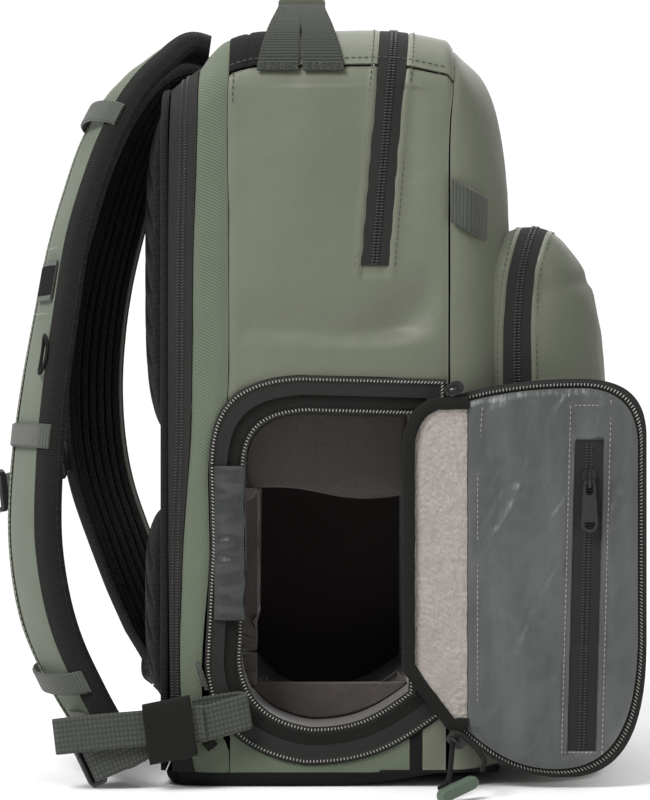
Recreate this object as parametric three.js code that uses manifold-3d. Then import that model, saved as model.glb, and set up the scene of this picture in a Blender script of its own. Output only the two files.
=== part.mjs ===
import * as THREE from 'three';
import { mergeVertices } from 'three/addons/utils/BufferGeometryUtils.js';
import Module from 'manifold-3d';

// A soft camera backpack standing on its base, its side camera door swung open to the front.
// Millimetres. X runs from the back panel (0) to the front, Y across the bag with the open side at -Y,
// Z up from the floor (0). Lengths in the tables are shares of the named sizes.

// Body
const bagWidth = 290;
const bagHeight = 428;
const bodyDepth = 158.6;
const frontBulge = 39.2;
const topCrown = 8;
const topSeamHeight = 408;
const shoulderRound = 34;
const baseHeight = 8;
const baseRound = 7;
const clothWall = 2;
const clearance = 0.3;
const frontSeamGap = 1.2;

// Front pocket
const pocketWidth = 252;
const pocketHeight = 317;
const pocketDepth = 53;
const pocketFoot = 12;
const pocketZipWidth = 15.3;
const pocketZipPlace = 198;

// Main zip over the top
const mainZipWidth = 15.7;
const mainZipTop = 127;
const mainZipEnd = 117;
const mainZipEndHeight = 292;

// Back
const backPadWidth = 206;
const backPadThick = 14;
const backPadLow = 44;
const backPadMiddle = 177;
const backPadGap = 46;
const backPadHigh = 384;
const backPanelThick = 3;

// Camera opening in the near side, measured from the back panel and the floor
const openingBack = 21.5;
const openingFront = 157;
const openingLow = 12.5;
const openingHigh = 231;
const openingZipWidth = 11;
const openingLiningWidth = 17;
const zipTapeThick = 1.6;

// Padded camera cube inside
const cubeInset = 13;
const cubeWall = 7;
const cubeDepth = 240;
const cubeZipWidth = 8;
const dividerThick = 12;
const dividerDepth = 44;
const dividerUpperLow = 167;
const dividerLowerHigh = 54;

// Open door
const doorBack = 160;
const doorFront = 269;
const doorLow = 6;
const doorHigh = 229;
const doorPanelThick = 5.6;
const doorZipWidth = 7.5;
const doorLiningThick = 3.4;
const hingePadBack = 139.5;
const hingePadFront = 168.5;
const hingePadLow = 40;
const hingePadHigh = 211.5;
const bindingWidth = 7;
const bindingThick = 6;
const pocketTapeWidth = 16;
const pocketTapeHigh = 213;
const pocketTapeLow = 22;
const pocketTapeCentre = 234.6;

// Zip pull on the door pocket
const pullLength = 29;
const pullWidth = 9.4;
const pullNeck = 6.8;
const pullThick = 1.4;
const pullPivotHeight = 171.5;
const sliderLength = 11;
const sliderWidth = 8;
const sliderThick = 2.6;

// Cord pull at the foot of the door
const cordDiameter = 3;
const toggleLength = 27;
const toggleThick = 7;

// Shoulder straps
const strapReach = 80;
const strapThick = 10;
const strapWidth = 68;
const strapMeshThick = 2.4;
const strapEdge = 3;
const yokeThick = 2.4;

// Webbing and buckles
const webWidth = 25;
const webThick = 1.6;
const sternumWebWidth = 20;
const buckleThick = 5;
const keeperLength = 26;
const handleHeight = 458;
const handleWebWidth = 25;

const wasm = await Module();
wasm.setup();

const V = (x, y, z) => new THREE.Vector3(x, y, z);
const mix = THREE.MathUtils.lerp;
const turn = THREE.MathUtils.degToRad;
const nearSide = -1;
const farSide = 1;
const sidePlane = bagWidth / 2;

// Solids

function solidOf(geometry) {
  const bare = geometry.index ? geometry.toNonIndexed() : geometry.clone();
  for (const name of Object.keys(bare.attributes)) {
    if (name !== 'position') bare.deleteAttribute(name);
  }
  const merged = mergeVertices(bare, 1e-3);
  const vertProperties = new Float32Array(merged.attributes.position.array);
  const triVerts = new Uint32Array(merged.index.array);
  return new wasm.Manifold(new wasm.Mesh({ numProp: 3, vertProperties, triVerts }));
}

function geometryOf(solid) {
  const mesh = solid.getMesh();
  const geometry = new THREE.BufferGeometry();
  geometry.setAttribute('position', new THREE.BufferAttribute(new Float32Array(mesh.vertProperties), 3));
  geometry.setIndex(new THREE.BufferAttribute(new Uint32Array(mesh.triVerts), 1));
  geometry.computeVertexNormals();
  return geometry;
}

function cut(geometry, ...tools) {
  let solid = solidOf(geometry);
  for (const tool of tools) solid = solid.subtract(solidOf(tool));
  return geometryOf(solid);
}

function join(...geometries) {
  let solid = solidOf(geometries[0]);
  for (const other of geometries.slice(1)) solid = solid.add(solidOf(other));
  return geometryOf(solid);
}

function keepInside(geometry, tool) {
  return geometryOf(solidOf(geometry).intersect(solidOf(tool)));
}

// The body of a cut piece that holds most of it.
function largest(geometry) {
  const bodies = solidOf(geometry).decompose();
  bodies.sort((a, b) => b.volume() - a.volume());
  return geometryOf(bodies[0]);
}

function meshFrom(points, index) {
  const flat = points.flatMap((p) => [p.x, p.y, p.z]);
  let volume = 0;
  for (let i = 0; i < index.length; i += 3) {
    const [a, b, c] = [points[index[i]], points[index[i + 1]], points[index[i + 2]]];
    volume += a.dot(V(0, 0, 0).crossVectors(b, c));
  }
  const faces = volume < 0 ? index.slice().reverse() : index;
  const geometry = new THREE.BufferGeometry();
  geometry.setAttribute('position', new THREE.Float32BufferAttribute(flat, 3));
  geometry.setIndex(faces);
  geometry.computeVertexNormals();
  return geometry;
}

// A closed wall between two surfaces, each given as a point for u and v from 0 to 1.
// A ring joins u = 1 to u = 0.
function wall(columns, rows, outer, inner, ring = false) {
  const steps = ring ? columns : columns + 1;
  const points = [];
  for (const surface of [outer, inner]) {
    for (let j = 0; j <= rows; j += 1) {
      for (let i = 0; i < steps; i += 1) points.push(surface(i / columns, j / rows));
    }
  }
  const at = (side, i, j) => side * steps * (rows + 1) + j * steps + (i % steps);
  const index = [];
  const quad = (a, b, c, d) => index.push(a, b, c, a, c, d);
  for (let i = 0; i < columns; i += 1) {
    for (let j = 0; j < rows; j += 1) {
      quad(at(0, i, j), at(0, i + 1, j), at(0, i + 1, j + 1), at(0, i, j + 1));
      quad(at(1, i, j), at(1, i, j + 1), at(1, i + 1, j + 1), at(1, i + 1, j));
    }
    quad(at(0, i + 1, 0), at(0, i, 0), at(1, i, 0), at(1, i + 1, 0));
    quad(at(0, i, rows), at(0, i + 1, rows), at(1, i + 1, rows), at(1, i, rows));
  }
  for (let j = 0; j < rows && !ring; j += 1) {
    quad(at(0, 0, j), at(0, 0, j + 1), at(1, 0, j + 1), at(1, 0, j));
    quad(at(0, columns, j + 1), at(0, columns, j), at(1, columns, j), at(1, columns, j + 1));
  }
  return meshFrom(points, index);
}

// A solid through closed sections. Each section is mirrored about Y = 0, so its ends close with cross strips.
function loft(sections) {
  const count = sections[0].length;
  const points = sections.flat();
  const index = [];
  for (let k = 0; k + 1 < sections.length; k += 1) {
    for (let i = 0; i < count; i += 1) {
      const [a, b] = [k * count + i, k * count + ((i + 1) % count)];
      index.push(a, b, b + count, a, b + count, a + count);
    }
  }
  const last = (sections.length - 1) * count;
  for (let i = 0; i < count / 2 - 1; i += 1) {
    const [p, q, r, s] = [i, i + 1, count - 2 - i, count - 1 - i];
    index.push(p, r, q, p, s, r);
    index.push(last + p, last + q, last + r, last + p, last + r, last + s);
  }
  return meshFrom(points, index);
}

const curveSteps = 6;

// Takes holes out of an outline. Outlines are drawn clockwise, and a hole has to run the other way.
function pierce(shape, ...holes) {
  for (const hole of holes) shape.holes.push(new THREE.Path(hole.getPoints(curveSteps).reverse()));
  return shape;
}

// A flat outline in X and Z, given some thickness between two Y places.
function plate(outline, yLow, yHigh, soft = 0) {
  const depth = yHigh - yLow - 2 * soft;
  const geometry = new THREE.ExtrudeGeometry(outline, {
    depth,
    curveSegments: curveSteps,
    bevelEnabled: soft > 0,
    bevelThickness: soft,
    bevelSize: soft,
    bevelOffset: -soft,
    bevelSegments: 1,
  });
  geometry.rotateX(Math.PI / 2);
  geometry.translate(0, yHigh - soft, 0);
  return geometry;
}

function box(low, high) {
  const geometry = new THREE.BoxGeometry(high.x - low.x, high.y - low.y, high.z - low.z);
  geometry.translate((low.x + high.x) / 2, (low.y + high.y) / 2, (low.z + high.z) / 2);
  return geometry;
}

function tube(points, radius, sides, steps) {
  const curve = new THREE.CatmullRomCurve3(points, false, 'centripetal');
  const corner = (i) => turn((360 * i) / sides);
  const spot = (i) => new THREE.Vector2(Math.cos(corner(i)) * radius, Math.sin(corner(i)) * radius);
  const section = new THREE.Shape(Array.from({ length: sides }, (_, i) => spot(i)));
  return new THREE.ExtrudeGeometry(section, { steps, extrudePath: curve });
}

// A value between the rows of a table, eased so that the outline has no corners.
function between(rows, key, column, value) {
  const last = rows.length - 1;
  if (value <= rows[0][key]) return rows[0][column];
  if (value >= rows[last][key]) return rows[last][column];
  const k = rows.findIndex((row) => row[key] > value) - 1;
  const [a, b] = [rows[k], rows[k + 1]];
  const slope = (i) => {
    const [p, q] = [rows[Math.max(i - 1, 0)], rows[Math.min(i + 1, last)]];
    return (q[column] - p[column]) / (q[key] - p[key]);
  };
  const span = b[key] - a[key];
  const t = (value - a[key]) / span;
  const rise = span * (slope(k) * t * (1 - t) ** 2 - slope(k + 1) * t * t * (1 - t));
  return mix(a[column], b[column], t * t * (3 - 2 * t)) + rise;
}

// A smooth path through the rows of a table. place(row) gives the point, and rows may hold other columns.
function route(rows, place) {
  const curve = new THREE.CatmullRomCurve3(rows.map(place), false, 'centripetal');
  const column = (name) => (u) => {
    const spot = u * (rows.length - 1);
    const k = Math.min(Math.floor(spot), rows.length - 2);
    return mix(rows[k][name], rows[k + 1][name], spot - k);
  };
  return { at: (u) => curve.getPoint(u), along: (u) => curve.getTangent(u), column };
}

// A strip along a route: across gives its width direction, and lift moves it off the route's surface.
function strip(path, options) {
  const { across, width, thick, steps, lanes = 1, lift = () => 0, ring = false } = options;
  const surface = (side) => (u, v) => {
    const reach = across(u).normalize();
    const out = V(0, 0, 0).crossVectors(reach, path.along(u)).normalize();
    const offset = lift(u, v) + (side * thick(u, v)) / 2;
    return path.at(u).addScaledVector(reach, width(u) * (v - 0.5)).addScaledVector(out, offset);
  };
  return wall(steps, lanes, surface(1), surface(-1), ring);
}

const always = (value) => () => value;

// Body surface. Rows run from the back panel to the front face: half is a share of half the bag's width,
// top a share of its height.
const bodyRows = [
  { x: 0, half: 0.945, top: 0.92 },
  { x: 0.05, half: 0.972, top: 0.934 },
  { x: 0.107, half: 0.99, top: 0.949 },
  { x: 0.165, half: 0.998, top: 0.973 },
  { x: 0.214, half: 1, top: 0.988 },
  { x: 0.284, half: 1, top: 0.997 },
  { x: 0.353, half: 1, top: 1 },
  { x: 0.568, half: 1, top: 1 },
  { x: 0.82, half: 1, top: 1 },
  { x: 1, half: 1, top: 0.988 },
  { x: 1.3, half: 0.974, top: 0.97 },
  { x: 1.57, half: 0.905, top: 0.958 },
  { x: 1.82, half: 0.78, top: 0.95 },
  { x: 1.95, half: 0.62, top: 0.944 },
  { x: 2, half: 0.42, top: 0.941 },
];

// Up to the front seam x counts body depths, and past it bulges.
const bodyShare = (x) => (x <= bodyDepth ? x / bodyDepth : 1 + (x - bodyDepth) / frontBulge);

// How far the front face leans back near the top, as a share of the bulge.
const leanRows = [
  { z: 0, lean: 0.08 },
  { z: 0.2, lean: 0 },
  { z: 0.78, lean: 0 },
  { z: 0.836, lean: 0.06 },
  { z: 0.906, lean: 0.22 },
  { z: 0.96, lean: 0.42 },
];

// Soft folds and dents of the side panels: place as shares of body depth and bag height, turn in degrees,
// length and breadth as shares of body depth, and depth (inwards) as a share of half the bag's width.
const foldRows = [
  { side: nearSide, x: 0.68, z: 0.565, turn: 32, length: 0.5, breadth: 0.07, depth: 0.03 },
  { side: nearSide, x: 0.84, z: 0.6, turn: 50, length: 0.34, breadth: 0.06, depth: 0.024 },
  { side: nearSide, x: 0.45, z: 0.6, turn: -12, length: 0.45, breadth: 0.13, depth: 0.016 },
  { side: nearSide, x: 0.5, z: 0.84, turn: 80, length: 0.5, breadth: 0.2, depth: -0.018 },
  { side: nearSide, x: 0.86, z: 0.84, turn: 88, length: 0.7, breadth: 0.07, depth: 0.016 },
  { side: farSide, x: 0.5, z: 0.6, turn: 20, length: 0.7, breadth: 0.14, depth: 0.02 },
  { side: farSide, x: 0.55, z: 0.3, turn: -30, length: 0.6, breadth: 0.16, depth: 0.026 },
  { side: farSide, x: 0.5, z: 0.82, turn: 70, length: 0.6, breadth: 0.2, depth: -0.016 },
];

function foldDepth(side, x, z) {
  let depth = 0;
  for (const fold of foldRows.filter((row) => row.side === side)) {
    const [dx, dz] = [x - fold.x * bodyDepth, z - fold.z * bagHeight];
    const angle = turn(fold.turn);
    const along = (dx * Math.cos(angle) + dz * Math.sin(angle)) / (fold.length * bodyDepth);
    const across = (dz * Math.cos(angle) - dx * Math.sin(angle)) / (fold.breadth * bodyDepth);
    depth += fold.depth * Math.exp(-along * along * 4 - across * across * 2);
  }
  const edges = Math.min(x - 0.22 * bodyDepth, bodyDepth - x, z - 1.06 * openingHigh, topSeamHeight - z);
  const fade = THREE.MathUtils.smoothstep(side === nearSide ? edges : Math.min(x, bodyDepth - x, z), 0, 14);
  return depth * fade * sidePlane;
}

// An arch over the bag: s runs from the near foot (-1) over the crest (0) to the far foot (1).
const archFlat = 0.25;
const archBend = 0.42;

function archPoint(section, s, inset) {
  const t = Math.abs(s);
  const half = section.half - inset;
  const top = section.top - inset;
  const round = section.round - inset;
  let y = half;
  let z = mix(top - round, section.bottom, (t - archBend) / (1 - archBend));
  if (t < archFlat) {
    y = ((half - round) * t) / archFlat;
    z = top + section.crown * (1 - (t / archFlat) ** 2);
  } else if (t < archBend) {
    const angle = (((t - archFlat) / (archBend - archFlat)) * Math.PI) / 2;
    y = half - round + round * Math.sin(angle);
    z = top - round + round * Math.cos(angle);
  }
  return { y: y * Math.sign(s), z };
}

function bodySection(x) {
  const share = bodyShare(x);
  return {
    half: between(bodyRows, 'x', 'half', share) * sidePlane,
    top: between(bodyRows, 'x', 'top', share) * bagHeight,
    bottom: baseHeight + clearance,
    round: shoulderRound,
    crown: topCrown,
  };
}

function bodyPoint(x, s, inset = 0) {
  const p = archPoint(bodySection(x), s, inset);
  const past = Math.max(0, x - bodyDepth);
  const lean = past * between(leanRows, 'z', 'lean', p.z / bagHeight);
  const side = s < 0 ? nearSide : farSide;
  const sides = Math.abs(s) > archBend ? foldDepth(side, x, p.z) : 0;
  return V(x - lean, p.y - side * sides, p.z);
}

// Seams of the back bands and of the front, as shares of body depth, by height as a share of the bag's.
const seamRows = [
  { z: 0.02, zip: 0.02, gusset: 0.1, side: 0.2, front: 1 },
  { z: 0.12, zip: 0.012, gusset: 0.05, side: 0.128, front: 1 },
  { z: 0.32, zip: 0.006, gusset: 0.056, side: 0.16, front: 1 },
  { z: 0.5, zip: 0.004, gusset: 0.086, side: 0.216, front: 1 },
  { z: 0.76, zip: 0.004, gusset: 0.096, side: 0.22, front: 1 },
  { z: 0.88, zip: 0.006, gusset: 0.107, side: 0.216, front: 1.006 },
  { z: 0.96, zip: 0.01, gusset: 0.11, side: 0.222, front: 1.04 },
];

// The seams bend round the camera opening on the near side and run straight on the far side.
const straightHeight = 0.76;

function seamPlace(name, z, side) {
  const share = z / bagHeight;
  return between(seamRows, 'z', name, side === farSide ? Math.max(share, straightHeight) : share) * bodyDepth;
}

// A band of the body between two seams. Each end may be a seam's name or a place.
function bodyBand(columns, rows, from, to, start, end, thick, sink = 0) {
  const surface = (inset) => (u, v) => {
    const s = mix(start, end, u);
    const z = archPoint(bodySection(bodyDepth / 2), s, 0).z;
    const side = s > 0 ? farSide : nearSide;
    const place = (seam) => (typeof seam === 'string' ? seamPlace(seam, z, side) : seam(z));
    return bodyPoint(mix(place(from) + clearance / 2, place(to) - clearance / 2, v), s, inset);
  };
  return wall(columns, rows, surface(sink), surface(sink + thick));
}

const topSeam = archFlat + (archBend - archFlat) * (70 / 90);
const seamSlit = 0.004;

// Main zip path over the top, by height.
function mainZipCentre(z) {
  const share = THREE.MathUtils.clamp((z - mainZipEndHeight) / (topSeamHeight - mainZipEndHeight), 0, 1.15);
  return mix(mainZipEnd, mainZipTop, share);
}

function mainZipReach() {
  const section = bodySection(bodyDepth / 2);
  const run = section.top - section.round - section.bottom;
  return 1 - ((mainZipEndHeight - section.bottom) / run) * (1 - archBend);
}

function mainZip(spare, thick, sink) {
  const reach = mainZipReach() + spare * 0.002;
  const half = mainZipWidth / 2 + spare;
  const back = (z) => mainZipCentre(z) - half;
  const front = (z) => mainZipCentre(z) + half;
  return bodyBand(32, 1, back, front, -reach, reach, thick, sink);
}

// The slot in the panels that the main zip is sewn into.
const mainZipSlot = () => mainZip(clearance, 3 * clothWall, -clothWall);

// Camera opening: a D with a large round at its upper back corner.
function openingOutline(inset) {
  const [x0, x1] = [openingBack + inset, openingFront - inset];
  const [z0, z1] = [openingLow + inset, openingHigh - inset];
  const spread = (x1 - x0) / 12;
  const shape = new THREE.Shape();
  shape.moveTo(x0 + 0.2 * spread, z1 - 4.4 * spread);
  const top = x0 + 4.7 * spread;
  shape.bezierCurveTo(x0 + 0.27 * spread, z1 - 1.4 * spread, x0 + 1.4 * spread, z1 - 0.2 * spread, top, z1);
  shape.lineTo(x1, z1 - 0.2 * spread);
  shape.lineTo(x1, z0 + 2.6 * spread);
  shape.bezierCurveTo(x0 + 9.5 * spread, z0 + 0.7 * spread, x0 + 8 * spread, z0, x0 + 5 * spread, z0);
  const low = z0 + 5 * spread;
  shape.bezierCurveTo(x0 + 1.6 * spread, z0 + 0.5 * spread, x0 + 0.1 * spread, z0 + 2.4 * spread, x0, low);
  shape.lineTo(x0 + 0.3 * spread, z0 + 11 * spread);
  return shape;
}

const openingTool = (grow) => plate(openingOutline(-grow), -sidePlane - 20, -sidePlane + 30);

// Body pieces

function backPanel() {
  const half = bodyRows[0].half * sidePlane - clothWall;
  const high = bodyRows[0].top * bagHeight - clothWall;
  const low = baseHeight + clearance;
  const round = shoulderRound * 0.8;
  const outline = new THREE.Shape();
  outline.moveTo(-half, low);
  outline.lineTo(half, low);
  outline.lineTo(half, high - round);
  outline.quadraticCurveTo(half, high, half - round, high);
  outline.lineTo(round - half, high);
  outline.quadraticCurveTo(-half, high, -half, high - round);
  const options = { depth: backPanelThick, bevelEnabled: false, curveSegments: curveSteps };
  const sheet = new THREE.ExtrudeGeometry(outline, options);
  sheet.rotateX(Math.PI / 2);
  sheet.rotateZ(Math.PI / 2);
  sheet.translate(-clearance - backPanelThick, 0, 0);
  return sheet;
}

// A back pad: a cushion with round edges, its ribs left to the cloth.
function backPad(low, high) {
  const across = backPadWidth / 2;
  const back = -clearance - backPanelThick - clearance;
  const edge = (t) => Math.sqrt(Math.max(0.04, 1 - Math.abs(2 * t - 1) ** 3.4));
  const surface = (side) => (u, v) => {
    const narrow = 1 - 0.1 * Math.abs(2 * v - 1) ** 6;
    const y = mix(-across, across, u) * narrow;
    const z = mix(low, high, v);
    const thick = backPadThick * edge(u) * edge(v);
    return V(back - (side ? thick + 0.6 : 0), y, z);
  };
  return wall(8, 5, surface(1), surface(0));
}

function frontSections(grow, wallInset, back) {
  const steps = [0, 0.35, 0.65, 0.86, 1];
  const feet = 11;
  const arch = Array.from({ length: 2 * feet }, (_, i) => {
    const spot = (i + 0.5) / feet - 1;
    return Math.sign(spot) * Math.abs(spot) ** 0.9;
  });
  arch[0] = -1;
  arch[arch.length - 1] = 1;
  return steps.map((k) => arch.map((s) => {
    const z = archPoint(bodySection(bodyDepth), s, 0).z;
    const seam = seamPlace('front', z, nearSide) + frontSeamGap;
    const p = bodyPoint(mix(seam, bodyDepth + frontBulge, k), s, wallInset - grow);
    p.x -= k === 0 ? back : k * wallInset;
    if (wallInset && Math.abs(s) === 1) p.z -= 4;
    p.x += grow;
    return p;
  }));
}

const frontSolid = (grow) => loft(frontSections(grow, 0, grow ? 20 : 0));

function frontPanel() {
  return cut(frontSolid(0), loft(frontSections(0, clothWall, 6)));
}

// Base: a tray under the body, its rim rising to the panels.
function baseRing(inset, z) {
  const along = [0, 0.04, 0.2, 0.45, 0.7, 0.9, 1];
  const front = [1.3, 1.57, 1.82, 1.95, 2];
  const half = (share) => between(bodyRows, 'x', 'half', share) * sidePlane - inset;
  const place = (share) => (share <= 1 ? share * bodyDepth : bodyDepth + (share - 1) * frontBulge);
  const near = [...along, ...front].map((share) => {
    const x = THREE.MathUtils.clamp(place(share), inset, bodyDepth + frontBulge * 0.95 - inset);
    return V(x, -half(share), z);
  });
  return [...near, ...near.map((p) => V(p.x, -p.y, p.z)).reverse()];
}

// Sections run up the bag, so the mirrored halves close as they do in loft.
function basePanel() {
  const outer = loft([
    baseRing(baseRound, 0),
    baseRing(baseRound * 0.35, baseHeight * 0.3),
    baseRing(0, baseHeight),
  ]);
  const inner = loft([
    baseRing(baseRound, clothWall + 0.5),
    baseRing(clothWall * 1.6, baseHeight * 0.7),
    baseRing(clothWall, baseHeight + 1),
  ]);
  return cut(outer, inner);
}

// Front pocket surface: rows from inside the front panel to the pocket's face.
const pocketRows = [
  { x: -0.65, half: 1, top: 0.972, low: 0, push: 0 },
  { x: -0.25, half: 1, top: 0.982, low: 0, push: 0 },
  { x: 0.1, half: 0.995, top: 1, low: 0, push: 0.1 },
  { x: 0.42, half: 0.962, top: 0.992, low: 0.002, push: 0.4 },
  { x: 0.7, half: 0.875, top: 0.95, low: 0.006, push: 0.8 },
  { x: 0.91, half: 0.74, top: 0.895, low: 0.018, push: 1 },
  { x: 1, half: 0.55, top: 0.84, low: 0.036, push: 1 },
];
const pocketStart = bodyDepth + frontBulge;
const pocketBelly = 0.17;

function pocketPoint(share, s, inset = 0) {
  const row = (column) => between(pocketRows, 'x', column, share);
  const section = {
    half: (row('half') * pocketWidth) / 2,
    top: row('top') * pocketHeight,
    bottom: pocketFoot + row('low') * pocketHeight + inset,
    round: shoulderRound * 0.8,
    crown: 0,
  };
  const p = archPoint(section, s, inset);
  const rise = THREE.MathUtils.clamp(p.z / pocketHeight, 0, 1);
  const belly = row('push') * pocketBelly * pocketDepth * Math.sin(Math.PI * Math.min(1, rise * 1.15) ** 0.8);
  return V(pocketStart + share * pocketDepth + belly, p.y, p.z);
}

function pocketSections(inset, back) {
  const shares = [-0.65, 0.1, 0.42, 0.72, 0.92, 1];
  const feet = 9;
  const arch = Array.from({ length: 2 * feet }, (_, i) => (i + 0.5) / feet - 1);
  arch[0] = -1;
  arch[arch.length - 1] = 1;
  return shares.map((share, k) => arch.map((s) => {
    const depth = k === 0 ? share - back : share;
    const p = pocketPoint(Math.min(depth, 1), s, inset);
    p.x -= k * inset * 0.18;
    return p;
  }));
}

function pocketZip(spare, thick, sink) {
  const half = (pocketZipWidth / 2 + spare) / pocketDepth;
  const centre = (s) => {
    const over = THREE.MathUtils.smoothstep(archBend + 0.08 - Math.abs(s), 0, 0.3);
    return (pocketZipPlace - pocketStart + 14 * over) / pocketDepth;
  };
  const end = 0.93 + spare * 0.003;
  const surface = (inset) => (u, v) => {
    const s = mix(-end, end, u);
    return pocketPoint(centre(s) + mix(-half, half, v), s, inset);
  };
  return wall(30, 1, surface(sink), surface(sink + thick));
}

function frontPocket() {
  const shell = cut(loft(pocketSections(0, 0)), loft(pocketSections(clothWall, 0.2)));
  const slot = pocketZip(clearance, 3 * clothWall, -clothWall);
  return largest(cut(shell, frontSolid(clearance), slot));
}

// A carry handle over the top, from the near side seam to the far one: s along the arch, lift off the bag.
const handleRows = [
  { s: -0.397, lift: 0 },
  { s: -0.36, lift: 0 },
  { s: -0.31, lift: 1 },
  { s: -0.215, lift: 10.5 },
  { s: -0.1, lift: 17.5 },
];
const webLift = webThick / 2 + clearance + 0.3;
const handleCentre = 75.5;
const handleFoot = 13;
const handleSpread = 9.4;

function handlePath(foot, grip) {
  const inwards = (s) => Math.min(1, (s - handleRows[0].s) / 0.18);
  const half = handleRows.map((row) => ({ ...row, x: mix(foot, grip, inwards(row.s)) }));
  const crest = { s: 0, lift: handleHeight - bagHeight - topCrown, x: grip };
  const rows = [...half, crest, ...half.map((row) => ({ ...row, s: -row.s })).reverse()];
  return route(rows, (row) => bodyPoint(row.x, row.s, -row.lift - webLift));
}

function handleWeb(side) {
  const path = handlePath(handleCentre + side * handleFoot, handleCentre + side * handleSpread);
  const width = (u) => handleWebWidth * (1 - 0.4 * Math.sin(Math.PI * u) ** 2);
  return strip(path, { across: () => V(1, 0, 0), width, thick: always(webThick), steps: 20 });
}

// The sleeve round both webs at the crest, following their line.
function handleGrip() {
  const path = handlePath(handleCentre, handleCentre);
  const sleeve = (grow) => (u, v) => {
    const angle = 2 * Math.PI * u;
    const p = path.at(mix(0.36, 0.64, v));
    const [wide, tall] = [handleSpread + handleWebWidth * 0.31 + 2.4 + grow, webThick / 2 + 1.7 + grow];
    const across = Math.sign(Math.cos(angle)) * Math.abs(Math.cos(angle)) ** 0.5 * wide;
    const up = Math.sign(Math.sin(angle)) * Math.abs(Math.sin(angle)) ** 0.5 * tall;
    return V(p.x + across, p.y, p.z + up);
  };
  return wall(12, 5, sleeve(2), sleeve(0), true);
}

// Side tab: a loop of webbing sewn flat beside the front seam.
const sideTabPlace = -0.51;
const sideTabRows = [
  { x: 1.008, lift: 0 },
  { x: 1.03, lift: 1.6 },
  { x: 1.07, lift: 4 },
  { x: 1.11, lift: 2.6 },
  { x: 1.135, lift: 0 },
];

function sideTab() {
  const path = route(sideTabRows, (row) => bodyPoint(row.x * bodyDepth, sideTabPlace, -row.lift - webLift));
  const across = () => V(0.02, 0, 1);
  return strip(path, { across, width: always(webWidth), thick: always(webThick), steps: 8 });
}

// Camera opening pieces

function ringPlate(outer, inner, yLow, yHigh) {
  return plate(pierce(openingOutline(outer), openingOutline(inner)), yLow, yHigh);
}

const openingFace = -sidePlane - 1;
const liningFace = openingFace + zipTapeThick + clearance;
const cubeFace = liningFace + 1.2 + clearance + zipTapeThick + clearance;

const openingZip = () => ringPlate(clearance, openingZipWidth, openingFace, openingFace + zipTapeThick);
const openingLining = () => ringPlate(1, openingLiningWidth, liningFace, liningFace + 1.2);

function cubeZip() {
  const y = liningFace + 1.2 + clearance;
  return ringPlate(cubeInset, cubeInset + cubeZipWidth, y, y + zipTapeThick);
}

function cubeLiner() {
  const tubeWall = ringPlate(cubeInset, cubeInset + cubeWall, cubeFace, cubeFace + cubeDepth - cubeWall);
  const back = plate(openingOutline(cubeInset), cubeFace + cubeDepth - cubeWall - 0.01, cubeFace + cubeDepth);
  return join(tubeWall, back);
}

function divider(low, high) {
  const inset = cubeInset + cubeWall + clearance;
  const y = cubeFace + dividerDepth;
  const pad = plate(openingOutline(inset), y, y + dividerThick, 2);
  return keepInside(pad, box(V(0, -sidePlane, low), V(bodyDepth * 2, sidePlane, high)));
}

// Door pieces

const doorGap = clearance + 0.1;
const doorFace = -sidePlane - doorGap - doorPanelThick;
const liningBack = doorFace - clearance;

// The door's outline: straight along the hinge, round at its free corners, slanting up at the lower
// hinge corner.
function doorOutline(inset) {
  const [x0, x1] = [doorBack, doorFront - inset];
  const [z0, z1] = [doorLow + inset, doorHigh - inset];
  const wide = doorFront - doorBack;
  const shape = new THREE.Shape();
  shape.moveTo(x0, z1 - 0.09 * wide);
  shape.bezierCurveTo(x0 + 0.2 * wide, z1 - 0.03 * wide, x0 + 0.4 * wide, z1, x0 + 0.66 * wide, z1);
  shape.bezierCurveTo(x1 - 0.12 * wide, z1, x1, z1 - 0.08 * wide, x1, z1 - 0.3 * wide);
  shape.lineTo(x1, z0 + 0.7 * wide);
  shape.bezierCurveTo(x1, z0 + 0.2 * wide, x1 - 0.14 * wide, z0, x1 - 0.42 * wide, z0);
  shape.bezierCurveTo(x0 + 0.36 * wide, z0, x0 + 0.2 * wide, z0 + 0.06 * wide, x0, z0 + 0.28 * wide);
  return shape;
}

const doorPanel = () => plate(doorOutline(doorZipWidth), doorFace, doorFace + doorPanelThick, 1);

function doorZip() {
  const y = doorFace + 1.4;
  const tool = plate(doorOutline(doorZipWidth - clearance), y - 5, y + 9);
  const rim = cut(plate(doorOutline(0), y, y + zipTapeThick), tool);
  return largest(rim);
}

// Grey lining of the door with its wrinkles: place as shares of the door's width and height.
const wrinkleRows = [
  { x: 0.26, z: 0.83, turn: 62, length: 0.5, breadth: 0.12, height: 1.5 },
  { x: 0.4, z: 0.6, turn: 68, length: 0.6, breadth: 0.11, height: -1.3 },
  { x: 0.3, z: 0.36, turn: 60, length: 0.5, breadth: 0.12, height: 1.4 },
  { x: 0.52, z: 0.2, turn: 72, length: 0.5, breadth: 0.1, height: -1.2 },
  { x: 0.86, z: 0.5, turn: 80, length: 0.5, breadth: 0.08, height: 1 },
];

function wrinkle(x, z) {
  const [wide, tall] = [doorFront - doorBack, doorHigh - doorLow];
  let height = 0;
  for (const row of wrinkleRows) {
    const [dx, dz] = [x - doorBack - row.x * wide, z - doorLow - row.z * tall];
    const angle = turn(row.turn);
    const along = (dx * Math.cos(angle) + dz * Math.sin(angle)) / (row.length * wide);
    const across = (dz * Math.cos(angle) - dx * Math.sin(angle)) / (row.breadth * wide);
    height += row.height * Math.exp(-along * along * 3 - across * across * 2);
  }
  const tape = Math.abs(x - pocketTapeCentre) / pocketTapeWidth;
  return height * THREE.MathUtils.smoothstep(tape, 0.6, 1.2);
}

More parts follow.
